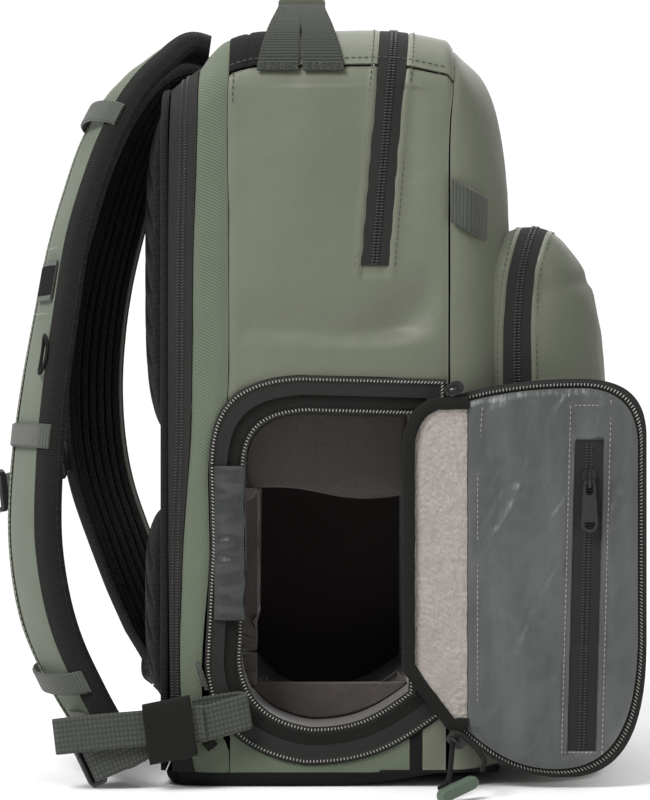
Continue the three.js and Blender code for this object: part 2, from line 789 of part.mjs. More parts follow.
const tapeSlant = 5;
const tapeShare = (z) => (z - pocketTapeLow) / (pocketTapeHigh - pocketTapeLow);
const tapeCentre = (z) => pocketTapeCentre + tapeSlant * (tapeShare(z) - 0.5);

function tapeOutline(grow) {
  const half = pocketTapeWidth / 2 + grow;
  const [low, high] = [pocketTapeLow - grow, pocketTapeHigh + grow];
  const shape = new THREE.Shape();
  shape.moveTo(tapeCentre(low) - half, low);
  shape.lineTo(tapeCentre(low) + half, low);
  shape.lineTo(tapeCentre(high) + half, high);
  shape.lineTo(tapeCentre(high) - half, high);
  return shape;
}

function doorLining() {
  const surface = (side) => (u, v) => {
    const x = mix(hingePadFront + clearance, doorFront + 2, u);
    const z = mix(doorLow - 2, doorHigh + 2, v);
    return V(x, liningBack - (side ? doorLiningThick - 1 + wrinkle(x, z) : 0), z);
  };
  const sheet = wall(7, 9, surface(1), surface(0));
  const trimmed = keepInside(sheet, plate(doorOutline(doorZipWidth * 0.72), liningBack - 9, liningBack + 9));
  return cut(trimmed, plate(tapeOutline(clearance), liningBack - 9, liningBack + 9));
}

const tapeFace = liningBack - doorLiningThick + 1.2;
const pocketTape = () => plate(tapeOutline(0), tapeFace, liningBack);

// Fleece pad at the hinge, with its lower back corner cut off, and the binding round it.
function hingeOutline(grow) {
  const [x0, x1] = [hingePadBack - grow, hingePadFront];
  const [z0, z1] = [hingePadLow - grow, hingePadHigh + grow];
  const shape = new THREE.Shape();
  shape.moveTo(x1, z0);
  shape.lineTo(x1 - 9, z0);
  shape.lineTo(x0, z0 + 31);
  shape.lineTo(x0, z1 - 22);
  shape.quadraticCurveTo(x0 + 2, z1 - 2, x0 + 17, z1);
  shape.lineTo(x1, z1);
  return shape;
}

// The pad's back fills the step between the door's face and the zip of the opening.
function hingePad() {
  const face = plate(hingeOutline(0), liningBack - 3.2, liningBack, 1);
  const back = plate(hingeOutline(-3), liningBack - 0.5, openingFace - clearance);
  return join(face, keepInside(back, box(V(0, -bagWidth, 0), V(doorBack - clearance, 0, bagHeight))));
}

function hingeBinding() {
  const rim = plate(hingeOutline(bindingWidth), liningBack - bindingThick + 1.4, liningBack, 1);
  const inner = plate(hingeOutline(clearance), liningBack - 20, liningBack + 20);
  const end = box(V(hingePadFront - clearance, -bagWidth, 0), V(doorFront, 0, bagHeight));
  return largest(cut(rim, inner, end));
}

// Zip slider of the door pocket: a body on the tape and a bridge that the pull hangs from.
const pullPivot = {
  x: tapeCentre(pullPivotHeight),
  y: tapeFace - clearance - sliderThick - 1.3,
  z: pullPivotHeight,
};
const bridgeRadius = 0.8;
const pullBar = 1.8;

function sliderBody(length, width, thick) {
  const shape = new THREE.Shape();
  shape.moveTo(-width * 0.32, 0);
  shape.lineTo(width * 0.32, 0);
  shape.lineTo(width * 0.5, length * 0.55);
  shape.quadraticCurveTo(width * 0.45, length, 0, length);
  shape.quadraticCurveTo(-width * 0.45, length, -width * 0.5, length * 0.55);
  return plate(shape, 0, thick);
}

function pocketSlider() {
  const back = tapeFace - clearance;
  const body = sliderBody(sliderLength, sliderWidth, sliderThick);
  body.translate(pullPivot.x, back - sliderThick, pullPivot.z - 3.6);
  const rise = pullPivot.y - 2.1;
  const bridge = tube([
    V(pullPivot.x, back - sliderThick + 0.5, pullPivot.z - 2.9),
    V(pullPivot.x, rise + 0.7, pullPivot.z - 2.6),
    V(pullPivot.x, rise, pullPivot.z - 1),
    V(pullPivot.x, rise, pullPivot.z + 3),
    V(pullPivot.x, rise + 1.2, pullPivot.z + 5.4),
    V(pullPivot.x, back - sliderThick + 0.5, pullPivot.z + 6.4),
  ], bridgeRadius, 6, 9);
  return join(body, bridge);
}

function pocketPull() {
  const [top, bottom] = [pullBar / 2, pullBar / 2 - pullLength];
  const half = pullWidth / 2;
  const shape = new THREE.Shape();
  shape.moveTo(-pullNeck / 2 + 0.8, top);
  shape.lineTo(pullNeck / 2 - 0.8, top);
  shape.lineTo(pullNeck / 2, top - 2);
  shape.lineTo(half, bottom + half);
  shape.absarc(0, bottom + half, half, 0, -Math.PI, true);
  shape.lineTo(-pullNeck / 2, top - 2);
  const eye = new THREE.Path();
  eye.moveTo(-pullNeck / 2 + 1.4, top - pullBar);
  eye.lineTo(pullNeck / 2 - 1.4, top - pullBar);
  eye.lineTo(pullNeck / 2 - 1.4, top - pullBar - 4.6);
  eye.absarc(0, top - pullBar - 4.6, pullNeck / 2 - 1.4, 0, -Math.PI, true);
  const slot = new THREE.Path();
  slot.moveTo(-half + 1.5, bottom + half + 1);
  slot.lineTo(half - 1.5, bottom + half + 1);
  slot.absarc(0, bottom + half, half - 1.5, 0, -Math.PI, true);
  const pull = plate(pierce(shape, eye, slot), -pullThick / 2, pullThick / 2);
  pull.translate(pullPivot.x, pullPivot.y, pullPivot.z);
  return pull;
}

// Sliders left at the two ends of the door zip.
function doorSlider(place, tilt) {
  const body = sliderBody(sliderLength, sliderWidth, sliderThick);
  const eye = new THREE.TorusGeometry(2.6, 0.8, 6, 12);
  eye.rotateX(Math.PI / 2);
  eye.rotateZ(Math.PI / 2);
  eye.translate(0, -1.4, 4.5);
  const slider = join(body, eye);
  slider.rotateY(turn(tilt));
  slider.translate(place.x, place.y, place.z);
  return slider;
}

const topSliderPlace = V(156, doorFace - 4.4, 221.5);
const footSliderPlace = V(157.5, doorFace - 4.4, 30);

// Cord pull: two cords from the lower slider out to a moulded bar on the floor.
const toggleStart = V(150, -206, 2.7);
const toggleEnd = V(172, -190, 10.5);

const leftCordPoints = [
  V(161.2, -156.8, 27.4),
  V(160.2, -156.8, 25.7),
  V(159.6, -160.4, 22.4),
  V(158.8, -168, 18.4),
  V(158, -176, 15),
  V(157, -184, 11),
  V(154.6, -192, 8.2),
  V(151.3, -199.2, 7.1),
];

const rightCordPoints = [
  V(161.6, -156.8, 28.1),
  V(162.6, -156.8, 29.8),
  V(165, -160, 31),
  V(168, -166, 29),
  V(171.4, -172, 26.6),
  V(174.2, -178, 23.4),
  V(176.2, -183.4, 19.6),
  V(174.6, -187.6, 14.7),
];

const pullCord = (points) => tube(points, cordDiameter / 2, 8, 8);

function pullToggle() {
  const along = V(0, 0, 0).subVectors(toggleEnd, toggleStart).normalize();
  const half = toggleLength / 2 - toggleThick / 2;
  const shape = new THREE.Shape();
  shape.absarc(half, 0, toggleThick / 2, -Math.PI / 2, Math.PI / 2, false);
  shape.absarc(-half, 0, toggleThick / 2, Math.PI / 2, (3 * Math.PI) / 2, false);
  const bar = new THREE.ExtrudeGeometry(shape, {
    depth: toggleThick - 3.2,
    bevelEnabled: true,
    bevelThickness: 1,
    bevelSize: 1,
    bevelOffset: -1,
    bevelSegments: 1,
    curveSegments: 5,
  });
  bar.translate(0, 0, 1.6 - toggleThick / 2);
  const up = V(0, 0, 1).addScaledVector(along, -along.z).normalize();
  const out = V(0, 0, 0).crossVectors(along, up);
  const middle = V(0, 0, 0).addVectors(toggleStart, toggleEnd).multiplyScalar(0.5);
  bar.applyMatrix4(new THREE.Matrix4().makeBasis(along, up, out).setPosition(middle));
  return bar;
}

// Shoulder straps: centre line and width. x is a share of the straps' reach behind the bag, y of half the
// bag's width, z of its height, width of the strap's full width, and turn how far its face looks sideways.
const strapNearRows = [
  { x: 0.25, y: -0.36, z: 0.984, width: 0.86, turn: 4 },
  { x: 0.1, y: -0.385, z: 0.988, width: 0.88, turn: 8 },
  { x: -0.07, y: -0.41, z: 0.968, width: 0.92, turn: 14 },
  { x: -0.31, y: -0.455, z: 0.925, width: 0.96, turn: 18 },
  { x: -0.5, y: -0.5, z: 0.86, width: 1, turn: 18 },
  { x: -0.63, y: -0.53, z: 0.79, width: 1, turn: 17 },
  { x: -0.73, y: -0.55, z: 0.722, width: 1, turn: 17 },
  { x: -0.83, y: -0.58, z: 0.614, width: 1, turn: 19 },
  { x: -0.91, y: -0.605, z: 0.512, width: 1, turn: 21 },
  { x: -0.96, y: -0.635, z: 0.41, width: 1, turn: 23 },
  { x: -0.96, y: -0.67, z: 0.31, width: 1, turn: 24 },
  { x: -0.86, y: -0.72, z: 0.212, width: 0.98, turn: 26 },
  { x: -0.67, y: -0.78, z: 0.135, width: 0.9, turn: 28 },
  { x: -0.45, y: -0.86, z: 0.072, width: 0.76, turn: 30 },
  { x: -0.27, y: -0.92, z: 0.034, width: 0.5, turn: 30 },
];

const strapFarRows = [
  { x: 0.25, y: 0.36, z: 0.984, width: 0.86, turn: -4 },
  { x: 0.1, y: 0.385, z: 0.988, width: 0.88, turn: -8 },
  { x: -0.06, y: 0.4, z: 0.968, width: 0.92, turn: -14 },
  { x: -0.24, y: 0.43, z: 0.918, width: 0.96, turn: -18 },
  { x: -0.42, y: 0.47, z: 0.84, width: 1, turn: -20 },
  { x: -0.55, y: 0.5, z: 0.76, width: 1, turn: -21 },
  { x: -0.66, y: 0.53, z: 0.68, width: 1, turn: -22 },
  { x: -0.73, y: 0.56, z: 0.6, width: 1, turn: -23 },
  { x: -0.755, y: 0.59, z: 0.52, width: 1, turn: -23 },
  { x: -0.735, y: 0.62, z: 0.44, width: 1, turn: -24 },
  { x: -0.67, y: 0.65, z: 0.375, width: 1, turn: -24 },
  { x: -0.53, y: 0.69, z: 0.295, width: 0.98, turn: -25 },
  { x: -0.4, y: 0.74, z: 0.225, width: 0.94, turn: -26 },
  { x: -0.28, y: 0.8, z: 0.16, width: 0.8, turn: -28 },
  { x: -0.2, y: 0.86, z: 0.112, width: 0.54, turn: -28 },
];

const byStrap = (row) => V(row.x * strapReach, row.y * sidePlane, row.z * bagHeight);

// The strap's width direction at u: across the bag, its outer edge turned towards the bag.
function strapAcross(rows) {
  const angle = route(rows, byStrap).column('turn');
  return (u) => {
    const a = turn(angle(u));
    return V(-Math.sin(a), Math.cos(a), 0);
  };
}

function strap(rows, mesh) {
  const path = route(rows, byStrap);
  const share = path.column('width');
  const lens = (v) => 0.42 + 0.58 * Math.sqrt(Math.max(0, 1 - Math.abs(2 * v - 1) ** 2.6));
  const pad = {
    across: strapAcross(rows),
    width: (u) => share(u) * strapWidth,
    thick: (u, v) => strapThick * lens(v),
    lift: (u, v) => (strapThick * lens(v)) / 2,
    steps: 20,
    lanes: 3,
  };
  const backing = {
    ...pad,
    width: (u) => share(u) * (strapWidth + 2 * strapEdge),
    thick: always(strapMeshThick),
    lift: always(-strapMeshThick / 2 - 0.5),
    lanes: 2,
  };
  return strip(path, mesh ? backing : pad);
}

// A place on a strap's face: u along it, side from -1 to 1 across it, off it by some height.
function strapFace(rows, u, side, height) {
  const path = route(rows, byStrap);
  const across = strapAcross(rows)(u).normalize();
  const out = V(0, 0, 0).crossVectors(across, path.along(u)).normalize();
  const width = path.column('width')(u) * strapWidth;
  return path.at(u).addScaledVector(across, (side * width) / 2).addScaledVector(out, height);
}

// A band of webbing sewn across a strap's face, its middle standing off by rise.
function strapBand(rows, u, tall, rise, thick, overhang) {
  const centre = route(rows, byStrap);
  const down = centre.along(u);
  const spots = [-1, -0.86, -0.5, 0, 0.5, 0.86, 1];
  const lens = (t) => 0.42 + 0.58 * Math.sqrt(Math.max(0, 1 - Math.abs(t) ** 2.6));
  const places = spots.map((t) => {
    const stand = strapThick * lens(t) + clearance + thick / 2 + rise * (1 - t * t);
    return strapFace(rows, u, t * (1 + overhang), stand);
  });
  const path = route(places.map((p) => ({ p })), (row) => row.p);
  return strip(path, { across: () => down.clone(), width: always(tall), thick: always(thick), steps: 10 });
}

// A short web between the roots of the two straps, on the top of the back bands.
function strapYoke() {
  const [place, half, lift] = [11, 9, yokeThick / 2 + clearance + 0.4];
  const rows = [-0.034, -0.016, 0.016, 0.034].map((spot) => ({ spot }));
  const path = route(rows, (row) => bodyPoint(place, row.spot, -lift));
  const back = V(0, 0, 0).subVectors(bodyPoint(place + half, 0), bodyPoint(place - half, 0));
  const across = () => back.clone();
  return strip(path, { across, width: always(2 * half), thick: always(yokeThick), steps: 3 });
}

// Sternum strap halves at the inner edge of each strap: a short web and the clip that it lies on.
function sternumFrame(rows, u, side) {
  const start = strapFace(rows, u, side, strapThick * 0.2);
  const edge = strapAcross(rows)(u).multiplyScalar(side);
  const lead = V(-0.5, 0, -0.2).addScaledVector(edge, 0.85).normalize();
  const reach = V(0, 0, -1).addScaledVector(lead, lead.z).normalize();
  return { start, lead, reach, out: V(0, 0, 0).crossVectors(reach, lead) };
}

function sternumWeb(rows, u, side) {
  const { start, lead, reach } = sternumFrame(rows, u, side);
  const rowsOut = [1.1, 6, 10, 15].map((t) => ({ t }));
  const path = route(rowsOut, (row) => start.clone().addScaledVector(lead, row.t));
  const across = () => reach.clone();
  return strip(path, { across, width: always(sternumWebWidth), thick: always(webThick), steps: 3 });
}

function sternumClip(rows, u, side) {
  const { start, lead, reach, out } = sternumFrame(rows, u, side);
  const clip = frameBuckle(12, sternumWebWidth + 5, 2.6, buckleThick);
  const under = (webThick + buckleThick) / 2 + clearance;
  const place = start.clone().addScaledVector(lead, 13).addScaledVector(out, -under);
  const frame = new THREE.Matrix4().makeBasis(lead, out.clone().negate(), reach.clone().negate());
  clip.applyMatrix4(frame.setPosition(place));
  return clip;
}

function frameBuckle(width, height, bar, thick) {
  const shape = new THREE.Shape();
  const soft = 2;
  shape.moveTo(-width / 2 + soft, -height / 2);
  shape.lineTo(width / 2 - soft, -height / 2);
  shape.lineTo(width / 2, -height / 2 + soft);
  shape.lineTo(width / 2, height / 2 - soft);
  shape.lineTo(width / 2 - soft, height / 2);
  shape.lineTo(-width / 2 + soft, height / 2);
  shape.lineTo(-width / 2, height / 2 - soft);
  shape.lineTo(-width / 2, -height / 2 + soft);
  const gap = (height - 3 * bar) / 2;
  const slots = [-1, 1].map((side) => {
    const centre = (side * (gap + bar)) / 2;
    const slot = new THREE.Path();
    slot.moveTo(-width / 2 + bar, centre - gap / 2);
    slot.lineTo(width / 2 - bar, centre - gap / 2);
    slot.lineTo(width / 2 - bar, centre + gap / 2);
    slot.lineTo(-width / 2 + bar, centre + gap / 2);
    return slot;
  });
  return plate(pierce(shape, ...slots), -thick / 2, thick / 2, 0.6);
}

// Adjusters
const adjusterPlane = -sidePlane - 13;
const adjusterWidth = 20;
const ladderlockThick = 3;
const onLadderlock = ladderlockThick / 2 + clearance + webThick / 2;

// A ladderlock's place: its middle, the way its bars lie and the way the web runs through it.
function lockAt(middle, bars, run) {
  const x = bars.clone().normalize();
  const z = run.clone().addScaledVector(x, -run.dot(x)).normalize();
  return { middle, bars: x, run: z, face: V(0, 0, 0).crossVectors(z, x) };
}

const lockNear = lockAt(V(-41.5, adjusterPlane + 8.6, 13.5), V(0.42, 0, -0.9), V(0.8, -0.5, 0.3));
const lockFar = lockAt(V(-20, sidePlane - 10, 32), V(0.25, 0.95, 0), V(0.75, 0, -0.65));

function lockPoint(lock, run, face) {
  return lock.middle.clone().addScaledVector(lock.run, run).addScaledVector(lock.face, face);
}

function ladderlock(lock) {
  const buckle = frameBuckle(adjusterWidth + 5, 12, 2.4, ladderlockThick);
  buckle.applyMatrix4(new THREE.Matrix4().makeBasis(lock.bars, lock.face, lock.run).setPosition(lock.middle));
  return buckle;
}

// A web through given points, its width direction turning from one to another between two shares of
// its length.
function webThrough(points, from, to, [start, end], steps) {
  const path = route(points.map((p) => ({ p })), (row) => row.p);
  const across = (u) => from.clone().lerp(to, THREE.MathUtils.smoothstep(u, start, end));
  return strip(path, { across, width: always(adjusterWidth), thick: always(webThick), steps });
}

// From the ladderlock through the keeper, round a fold, and back to the gusset.
function adjusterWebNear() {
  const points = [
    lockPoint(lockNear, 0.6, -onLadderlock),
    lockPoint(lockNear, 7, -onLadderlock),
    V(-22, adjusterPlane + 2.4, 22),
    V(-4, adjusterPlane + 1.6, 30),
    V(14, adjusterPlane + 1, 35),
    V(34, adjusterPlane + 1, 40.5),
    V(43, adjusterPlane + 1.4, 43),
    V(47, adjusterPlane + 4, 44.2),
    V(43, adjusterPlane + 7, 44.6),
    V(32, adjusterPlane + 9.4, 43),
    V(16, adjusterPlane + 11.6, 40),
  ];
  return webThrough(points, lockNear.bars.clone().negate(), V(-0.16, 0, 1), [0.06, 0.34], 20);
}

function adjusterTail() {
  const points = [
    V(22, adjusterPlane - 1.4, 38),
    V(0, adjusterPlane - 2, 36),
    V(-30, adjusterPlane - 2.6, 33.4),
    V(-56, adjusterPlane - 2.6, 30.6),
    V(-60.6, adjusterPlane - 0.6, 30),
    V(-56, adjusterPlane + 1.4, 30.4),
    V(-40, adjusterPlane + 0.6, 32.2),
    V(-20, adjusterPlane - 0.2, 34),
  ];
  const lean = V(-0.12, 0, 1);
  return webThrough(points, lean, lean, [0, 1], 16);
}

// Elastic sleeve that holds the tail on the adjuster web.
function keeper() {
  const [wide, tall] = [4.4, adjusterWidth / 2 + 5.4];
  const ring = (grow) => (u, v) => {
    const angle = 2 * Math.PI * u;
    const across = Math.sign(Math.cos(angle)) * Math.abs(Math.cos(angle)) ** 0.3 * (wide + grow);
    const up = Math.sign(Math.sin(angle)) * Math.abs(Math.sin(angle)) ** 0.3 * (tall + grow);
    const t = mix(-0.5, 0.5, v) * keeperLength;
    return V(3 + t - up * 0.14, adjusterPlane - 0.4 + across, 33.8 + t * 0.2 + up);
  };
  return wall(16, 2, ring(1.2), ring(0), true);
}

// A web from a strap's outer face to its ladderlock.
function ladderWeb(rows, side, lock) {
  const points = [
    strapFace(rows, 0.89, side * 0.3, strapThick + 1.6),
    strapFace(rows, 0.93, side * 0.5, strapThick + 2),
    lockPoint(lock, -9, onLadderlock * -side),
    lockPoint(lock, -0.6, onLadderlock * -side),
  ];
  const start = strapAcross(rows)(0.9);
  const end = start.dot(lock.bars) < 0 ? lock.bars.clone().negate() : lock.bars;
  return webThrough(points, start, end, [0, 0.7], 8);
}

function adjusterWebFar() {
  const points = [
    lockPoint(lockFar, 0.6, -onLadderlock),
    lockPoint(lockFar, 7, -onLadderlock),
    V(-4, sidePlane - 4, 17),
    V(8, sidePlane + 3.6, 19),
    V(26, sidePlane + 2.6, 22),
  ];
  return webThrough(points, lockFar.bars, V(0, 0.1, 1), [0.34, 0.7], 10);
}

const sternumNear = 0.66;
const sternumFar = 0.66;

const bag = new THREE.Group();

function add(name, geometry, look) {
  const mesh = new THREE.Mesh(geometry, new THREE.MeshStandardMaterial(look));
  mesh.name = name;
  bag.add(mesh);
  return mesh;
}

const coated = { color: 0x7d8571, roughness: 0.62, metalness: 0 };
const twill = { color: 0x60735d, roughness: 0.85, metalness: 0 };
const webbing = { color: 0x646c62, roughness: 0.8, metalness: 0 };
const tape = { color: 0x32302f, roughness: 0.8, metalness: 0 };
const airMesh = { color: 0x1e2022, roughness: 0.9, metalness: 0 };
const nylon = { color: 0x555a5a, roughness: 0.45, metalness: 0 };
const fleece = { color: 0xafa59b, roughness: 0.95, metalness: 0 };
const tricot = { color: 0x322c2a, roughness: 0.95, metalness: 0 };
const baseCloth = { color: 0x262425, roughness: 0.85, metalness: 0 };
const grosgrain = { color: 0x2a2b26, roughness: 0.85, metalness: 0 };
const plastic = { color: 0x232425, roughness: 0.5, metalness: 0 };
const blackMetal = { color: 0x3a3a3a, roughness: 0.35, metalness: 0.8 };
const toggleGreen = { color: 0x374437, roughness: 0.5, metalness: 0 };

function sidePanelNear() {
  const low = (openingHigh - 34 - baseHeight) / (bagHeight - shoulderRound - baseHeight);
  const start = -mix(1, archBend, low);
  const panel = bodyBand(14, 7, 'side', 'front', start, -topSeam - seamSlit, clothWall);
  return largest(cut(panel, openingTool(0), mainZipSlot()));
}

function lowerBandNear() {
  const panel = bodyBand(4, 6, (z) => seamPlace('side', z, nearSide) + 1.2, 'front', -1, -0.945, clothWall);
  return largest(cut(panel, openingTool(0)));
}

function sidePanelFar() {
  const panel = bodyBand(10, 5, 'side', 'front', topSeam + seamSlit, 1, clothWall);
  return largest(cut(panel, mainZipSlot()));
}

const blackBandEdge = 56;

// The main zip parts the top into a piece with the handle and a strip at the front seam.
const zipEdge = (side) => (z) => mainZipCentre(z) + side * (mainZipWidth / 2 + clearance / 2);
const topPiece = (from, to) => bodyBand(14, 2, from, to, -topSeam, topSeam, clothWall);
const topPanel = () => topPiece(() => blackBandEdge, zipEdge(-1));
const topPanelFront = () => topPiece(zipEdge(1), 'front');
const topBlackBand = () => bodyBand(14, 1, 'side', () => blackBandEdge, -topSeam, topSeam, clothWall);
const laptopZip = () => bodyBand(34, 1, 'zip', 'gusset', -1, 1, clothWall);

function backGusset() {
  const band = bodyBand(34, 1, 'gusset', 'side', -1, 1, clothWall);
  return largest(cut(band, openingTool(clearance)));
}

add('back_panel', backPanel(), airMesh);
add('back_pad_upper', backPad(backPadMiddle + backPadGap / 2, backPadHigh), airMesh);
add('back_pad_lower', backPad(backPadLow, backPadMiddle - backPadGap / 2), airMesh);
add('laptop_zip_band', laptopZip(), tape);
add('back_gusset', backGusset(), twill);
add('side_panel_near', sidePanelNear(), coated);
add('side_panel_far', sidePanelFar(), coated);
add('lower_band_near', lowerBandNear(), twill);
add('top_panel', topPanel(), coated);
add('top_panel_front', topPanelFront(), coated);
add('top_black_band', topBlackBand(), baseCloth);
add('main_zip_band', mainZip(0, zipTapeThick, 0.2), tape);
add('front_panel', frontPanel(), coated);
add('base_panel', basePanel(), baseCloth);
add('front_pocket', frontPocket(), coated);
add('front_pocket_zip', pocketZip(0, zipTapeThick, 0.2), tape);
add('side_tab_loop', sideTab(), webbing);
add('handle_web_back', handleWeb(-1), webbing);
add('handle_web_front', handleWeb(1), webbing);
add('handle_grip', handleGrip(), webbing);
add('opening_zip_band', openingZip(), tape);
add('opening_lining', openingLining(), tape);
add('cube_zip_band', cubeZip(), tape);
add('cube_liner', cubeLiner(), tricot);
add('divider_upper', divider(dividerUpperLow, bagHeight), tricot);
add('divider_lower', divider(0, dividerLowerHigh), tricot);
add('door_panel', doorPanel(), coated);
add('door_zip_band', doorZip(), tape);
add('door_lining', doorLining(), nylon);
add('pocket_zip_tape', pocketTape(), tape);
add('hinge_pad', hingePad(), fleece);
add('hinge_binding', hingeBinding(), grosgrain);
add('pocket_zip_slider', pocketSlider(), blackMetal);
add('pocket_zip_pull', pocketPull(), blackMetal);
add('door_slider_top', doorSlider(topSliderPlace, 70), blackMetal);
add('door_slider_bottom', doorSlider(footSliderPlace, 120), blackMetal);
add('pull_cord_left', pullCord(leftCordPoints), webbing);
add('pull_cord_right', pullCord(rightCordPoints), webbing);
add('pull_toggle', pullToggle(), toggleGreen);
add('strap_near', strap(strapNearRows, false), twill);
add('strap_near_mesh', strap(strapNearRows, true), airMesh);
add('strap_far', strap(strapFarRows, false), twill);
add('strap_far_mesh', strap(strapFarRows, true), airMesh);
add('strap_yoke', strapYoke(), airMesh);
add('sternum_web_near', sternumWeb(strapNearRows, sternumNear, 1), webbing);
add('sternum_web_far', sternumWeb(strapFarRows, sternumFar, -1), webbing);
add('sternum_clip_near', sternumClip(strapNearRows, sternumNear, 1), plastic);
add('sternum_clip_far', sternumClip(strapFarRows, sternumFar, -1), plastic);
add('ladder_web_near', ladderWeb(strapNearRows, -1, lockNear), webbing);
add('ladderlock_near', ladderlock(lockNear), plastic);
add('keeper_near', keeper(), baseCloth);
add('ladder_web_far', ladderWeb(strapFarRows, 1, lockFar), webbing);
add('ladderlock_far', ladderlock(lockFar), plastic);
add('adjuster_web_far', adjusterWebFar(), webbing);
add('adjuster_web_near', adjusterWebNear(), webbing);
add('adjuster_tail_near', adjusterTail(), webbing);
add('strap_loop_upper', strapBand(strapNearRows, 0.26, 14, 4, webThick, 0.03), webbing);
add('strap_band', strapBand(strapNearRows, 0.61, 14, 0.3, webThick, 0.03), webbing);
add('strap_loop_lower', strapBand(strapNearRows, 0.85, 14, 6, webThick, 0.03), webbing);

// The origin goes to the middle of the floor under the bag, its cords left out.
const cords = ['pull_cord_left', 'pull_cord_right', 'pull_toggle'];
const bounds = new THREE.Box3();
for (const mesh of bag.children) {
  if (!cords.includes(mesh.name)) bounds.expandByObject(mesh, true);
}
const middle = bounds.getCenter(V(0, 0, 0));
for (const mesh of bag.children) mesh.geometry.translate(-middle.x, -middle.y, -bounds.min.z);

export default bag;
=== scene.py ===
"""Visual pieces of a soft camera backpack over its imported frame.

Lengths are millimetres, with X from the back panel to the front, Y across the bag with the open side at -Y,
and Z up from the floor, unless a name says metres.
"""

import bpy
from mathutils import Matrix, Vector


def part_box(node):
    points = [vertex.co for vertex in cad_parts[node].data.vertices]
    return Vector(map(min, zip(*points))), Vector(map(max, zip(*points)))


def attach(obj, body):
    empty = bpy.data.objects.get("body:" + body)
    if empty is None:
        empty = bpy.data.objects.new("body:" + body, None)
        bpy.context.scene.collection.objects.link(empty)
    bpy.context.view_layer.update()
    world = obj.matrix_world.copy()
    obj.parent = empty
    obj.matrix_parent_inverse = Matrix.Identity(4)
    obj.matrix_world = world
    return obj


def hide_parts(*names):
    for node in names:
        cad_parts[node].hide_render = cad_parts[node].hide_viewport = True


bl_info = {
    "name": "Camera backpack",
    "version": (1, 0, 0),
    "blender": (4, 5, 0),
    "location": "View3D > Sidebar > Backpack",
    "description": "Builds the cloth, zips, webbing and padding of a camera backpack over its packed frame",
    "category": "Object",
}

import math

import bmesh
import bpy
import numpy as np
from bpy.props import FloatProperty, FloatVectorProperty, PointerProperty
from mathutils import Matrix, Vector, noise

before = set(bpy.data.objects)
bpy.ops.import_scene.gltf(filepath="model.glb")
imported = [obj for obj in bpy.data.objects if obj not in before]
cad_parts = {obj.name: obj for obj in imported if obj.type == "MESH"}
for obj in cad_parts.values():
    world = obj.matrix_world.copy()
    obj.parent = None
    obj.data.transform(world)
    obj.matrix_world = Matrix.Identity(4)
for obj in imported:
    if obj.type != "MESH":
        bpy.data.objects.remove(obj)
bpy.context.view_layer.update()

MM = 0.001
ROOT_BODY = "bag"

# Sizes shared with the solids
BAG_WIDTH = 290
BAG_HEIGHT = 428
BODY_DEPTH = 158.6
FRONT_BULGE = 39.2
TOP_CROWN = 8
TOP_SEAM_HEIGHT = 408
SHOULDER_ROUND = 34
BASE_HEIGHT = 8
BASE_ROUND = 7
CLEARANCE = 0.3
SIDE_PLANE = BAG_WIDTH / 2
FRONT_SEAM_GAP = 1.2
ARCH_FLAT = 0.25
ARCH_BEND = 0.42
TOP_SEAM = ARCH_FLAT + (ARCH_BEND - ARCH_FLAT) * 70 / 90
STRAIGHT_HEIGHT = 0.76
POCKET_WIDTH = 252
POCKET_HEIGHT = 317
POCKET_DEPTH = 53
POCKET_FOOT = 12
POCKET_ZIP_WIDTH = 15.3
POCKET_ZIP_PLACE = 198
POCKET_BELLY = 0.17
POCKET_START = BODY_DEPTH + FRONT_BULGE
MAIN_ZIP_WIDTH = 15.7
MAIN_ZIP_TOP = 127
MAIN_ZIP_END = 117
MAIN_ZIP_END_HEIGHT = 292
LOWER_BAND_START = 36.0
# piece, look, start, end
LOWER_BAND_ROWS = [
    ("lower_band_cloth", "twill", LOWER_BAND_START, 136.5),
    ("lower_wedge_cloth", "black", 136.7, 143.6),
    ("lower_corner_cloth", "coated", 143.8, 156.8),
]
BACK_PAD_HALF = 103
# pad, low, high
BACK_PAD_ROWS = [("upper", 200, 384), ("lower", 44, 154)]
# back, front, low, high
LINING_STRIP = (27.2, 44, 94, 180)
DIVIDER_THICK = 9.0
DIVIDER_DEPTH = 44
# piece, low, high
DIVIDER_ROWS = [("upper", 167, 1e9), ("lower", -1e9, 54)]
TOOTH_PITCH, TOOTH_THICK = 1.9, 0.3
SMALL_WEB_WIDTH = 20

# Stitch rows: from stitch to stitch, length of one, radius of its thread
PANEL_STITCH = (3.6, 2.5, 0.32)
SEAM_STITCH = (3.6, 2.5, 0.3)
STRAP_STITCH = (3.6, 2.4, 0.3)
LABEL_STITCH = (2.2, 1.5, 0.3)
LINING_STITCH = (3.0, 2.0, 0.28)
BAR_STITCH = (2.4, 1.6, 0.28)
BLACK_BAND_EDGE = 56
OPENING = (21.5, 157, 12.5, 231)
OPENING_ZIP_WIDTH = 11
CUBE_INSET = 13
CUBE_WALL = 7
CUBE_DEPTH = 240
OPENING_FACE = -SIDE_PLANE - 1
LINING_FACE = OPENING_FACE + 1.9
CUBE_FACE = LINING_FACE + 3.4
DOOR = (160, 269, 6, 229)
DOOR_ZIP_WIDTH = 7.5
DOOR_FACE = -SIDE_PLANE - 0.4 - 5.6
LINING_BACK = DOOR_FACE - 0.3
HINGE_PAD = (139.5, 168.5, 40, 211.5)
BINDING_WIDTH = 7
TAPE_LOW, TAPE_HIGH, TAPE_CENTRE, TAPE_WIDTH, TAPE_SLANT = 22, 213, 234.6, 16, 5
STRAP_REACH = 80
STRAP_WIDTH = 68
STRAP_THICK = 10
STRAP_EDGE = 3
WEB_THICK = 1.6
HANDLE_HEIGHT = 458
HANDLE_CENTRE, HANDLE_FOOT, HANDLE_SPREAD, HANDLE_WEB_WIDTH = 75.5, 13, 9.4, 25

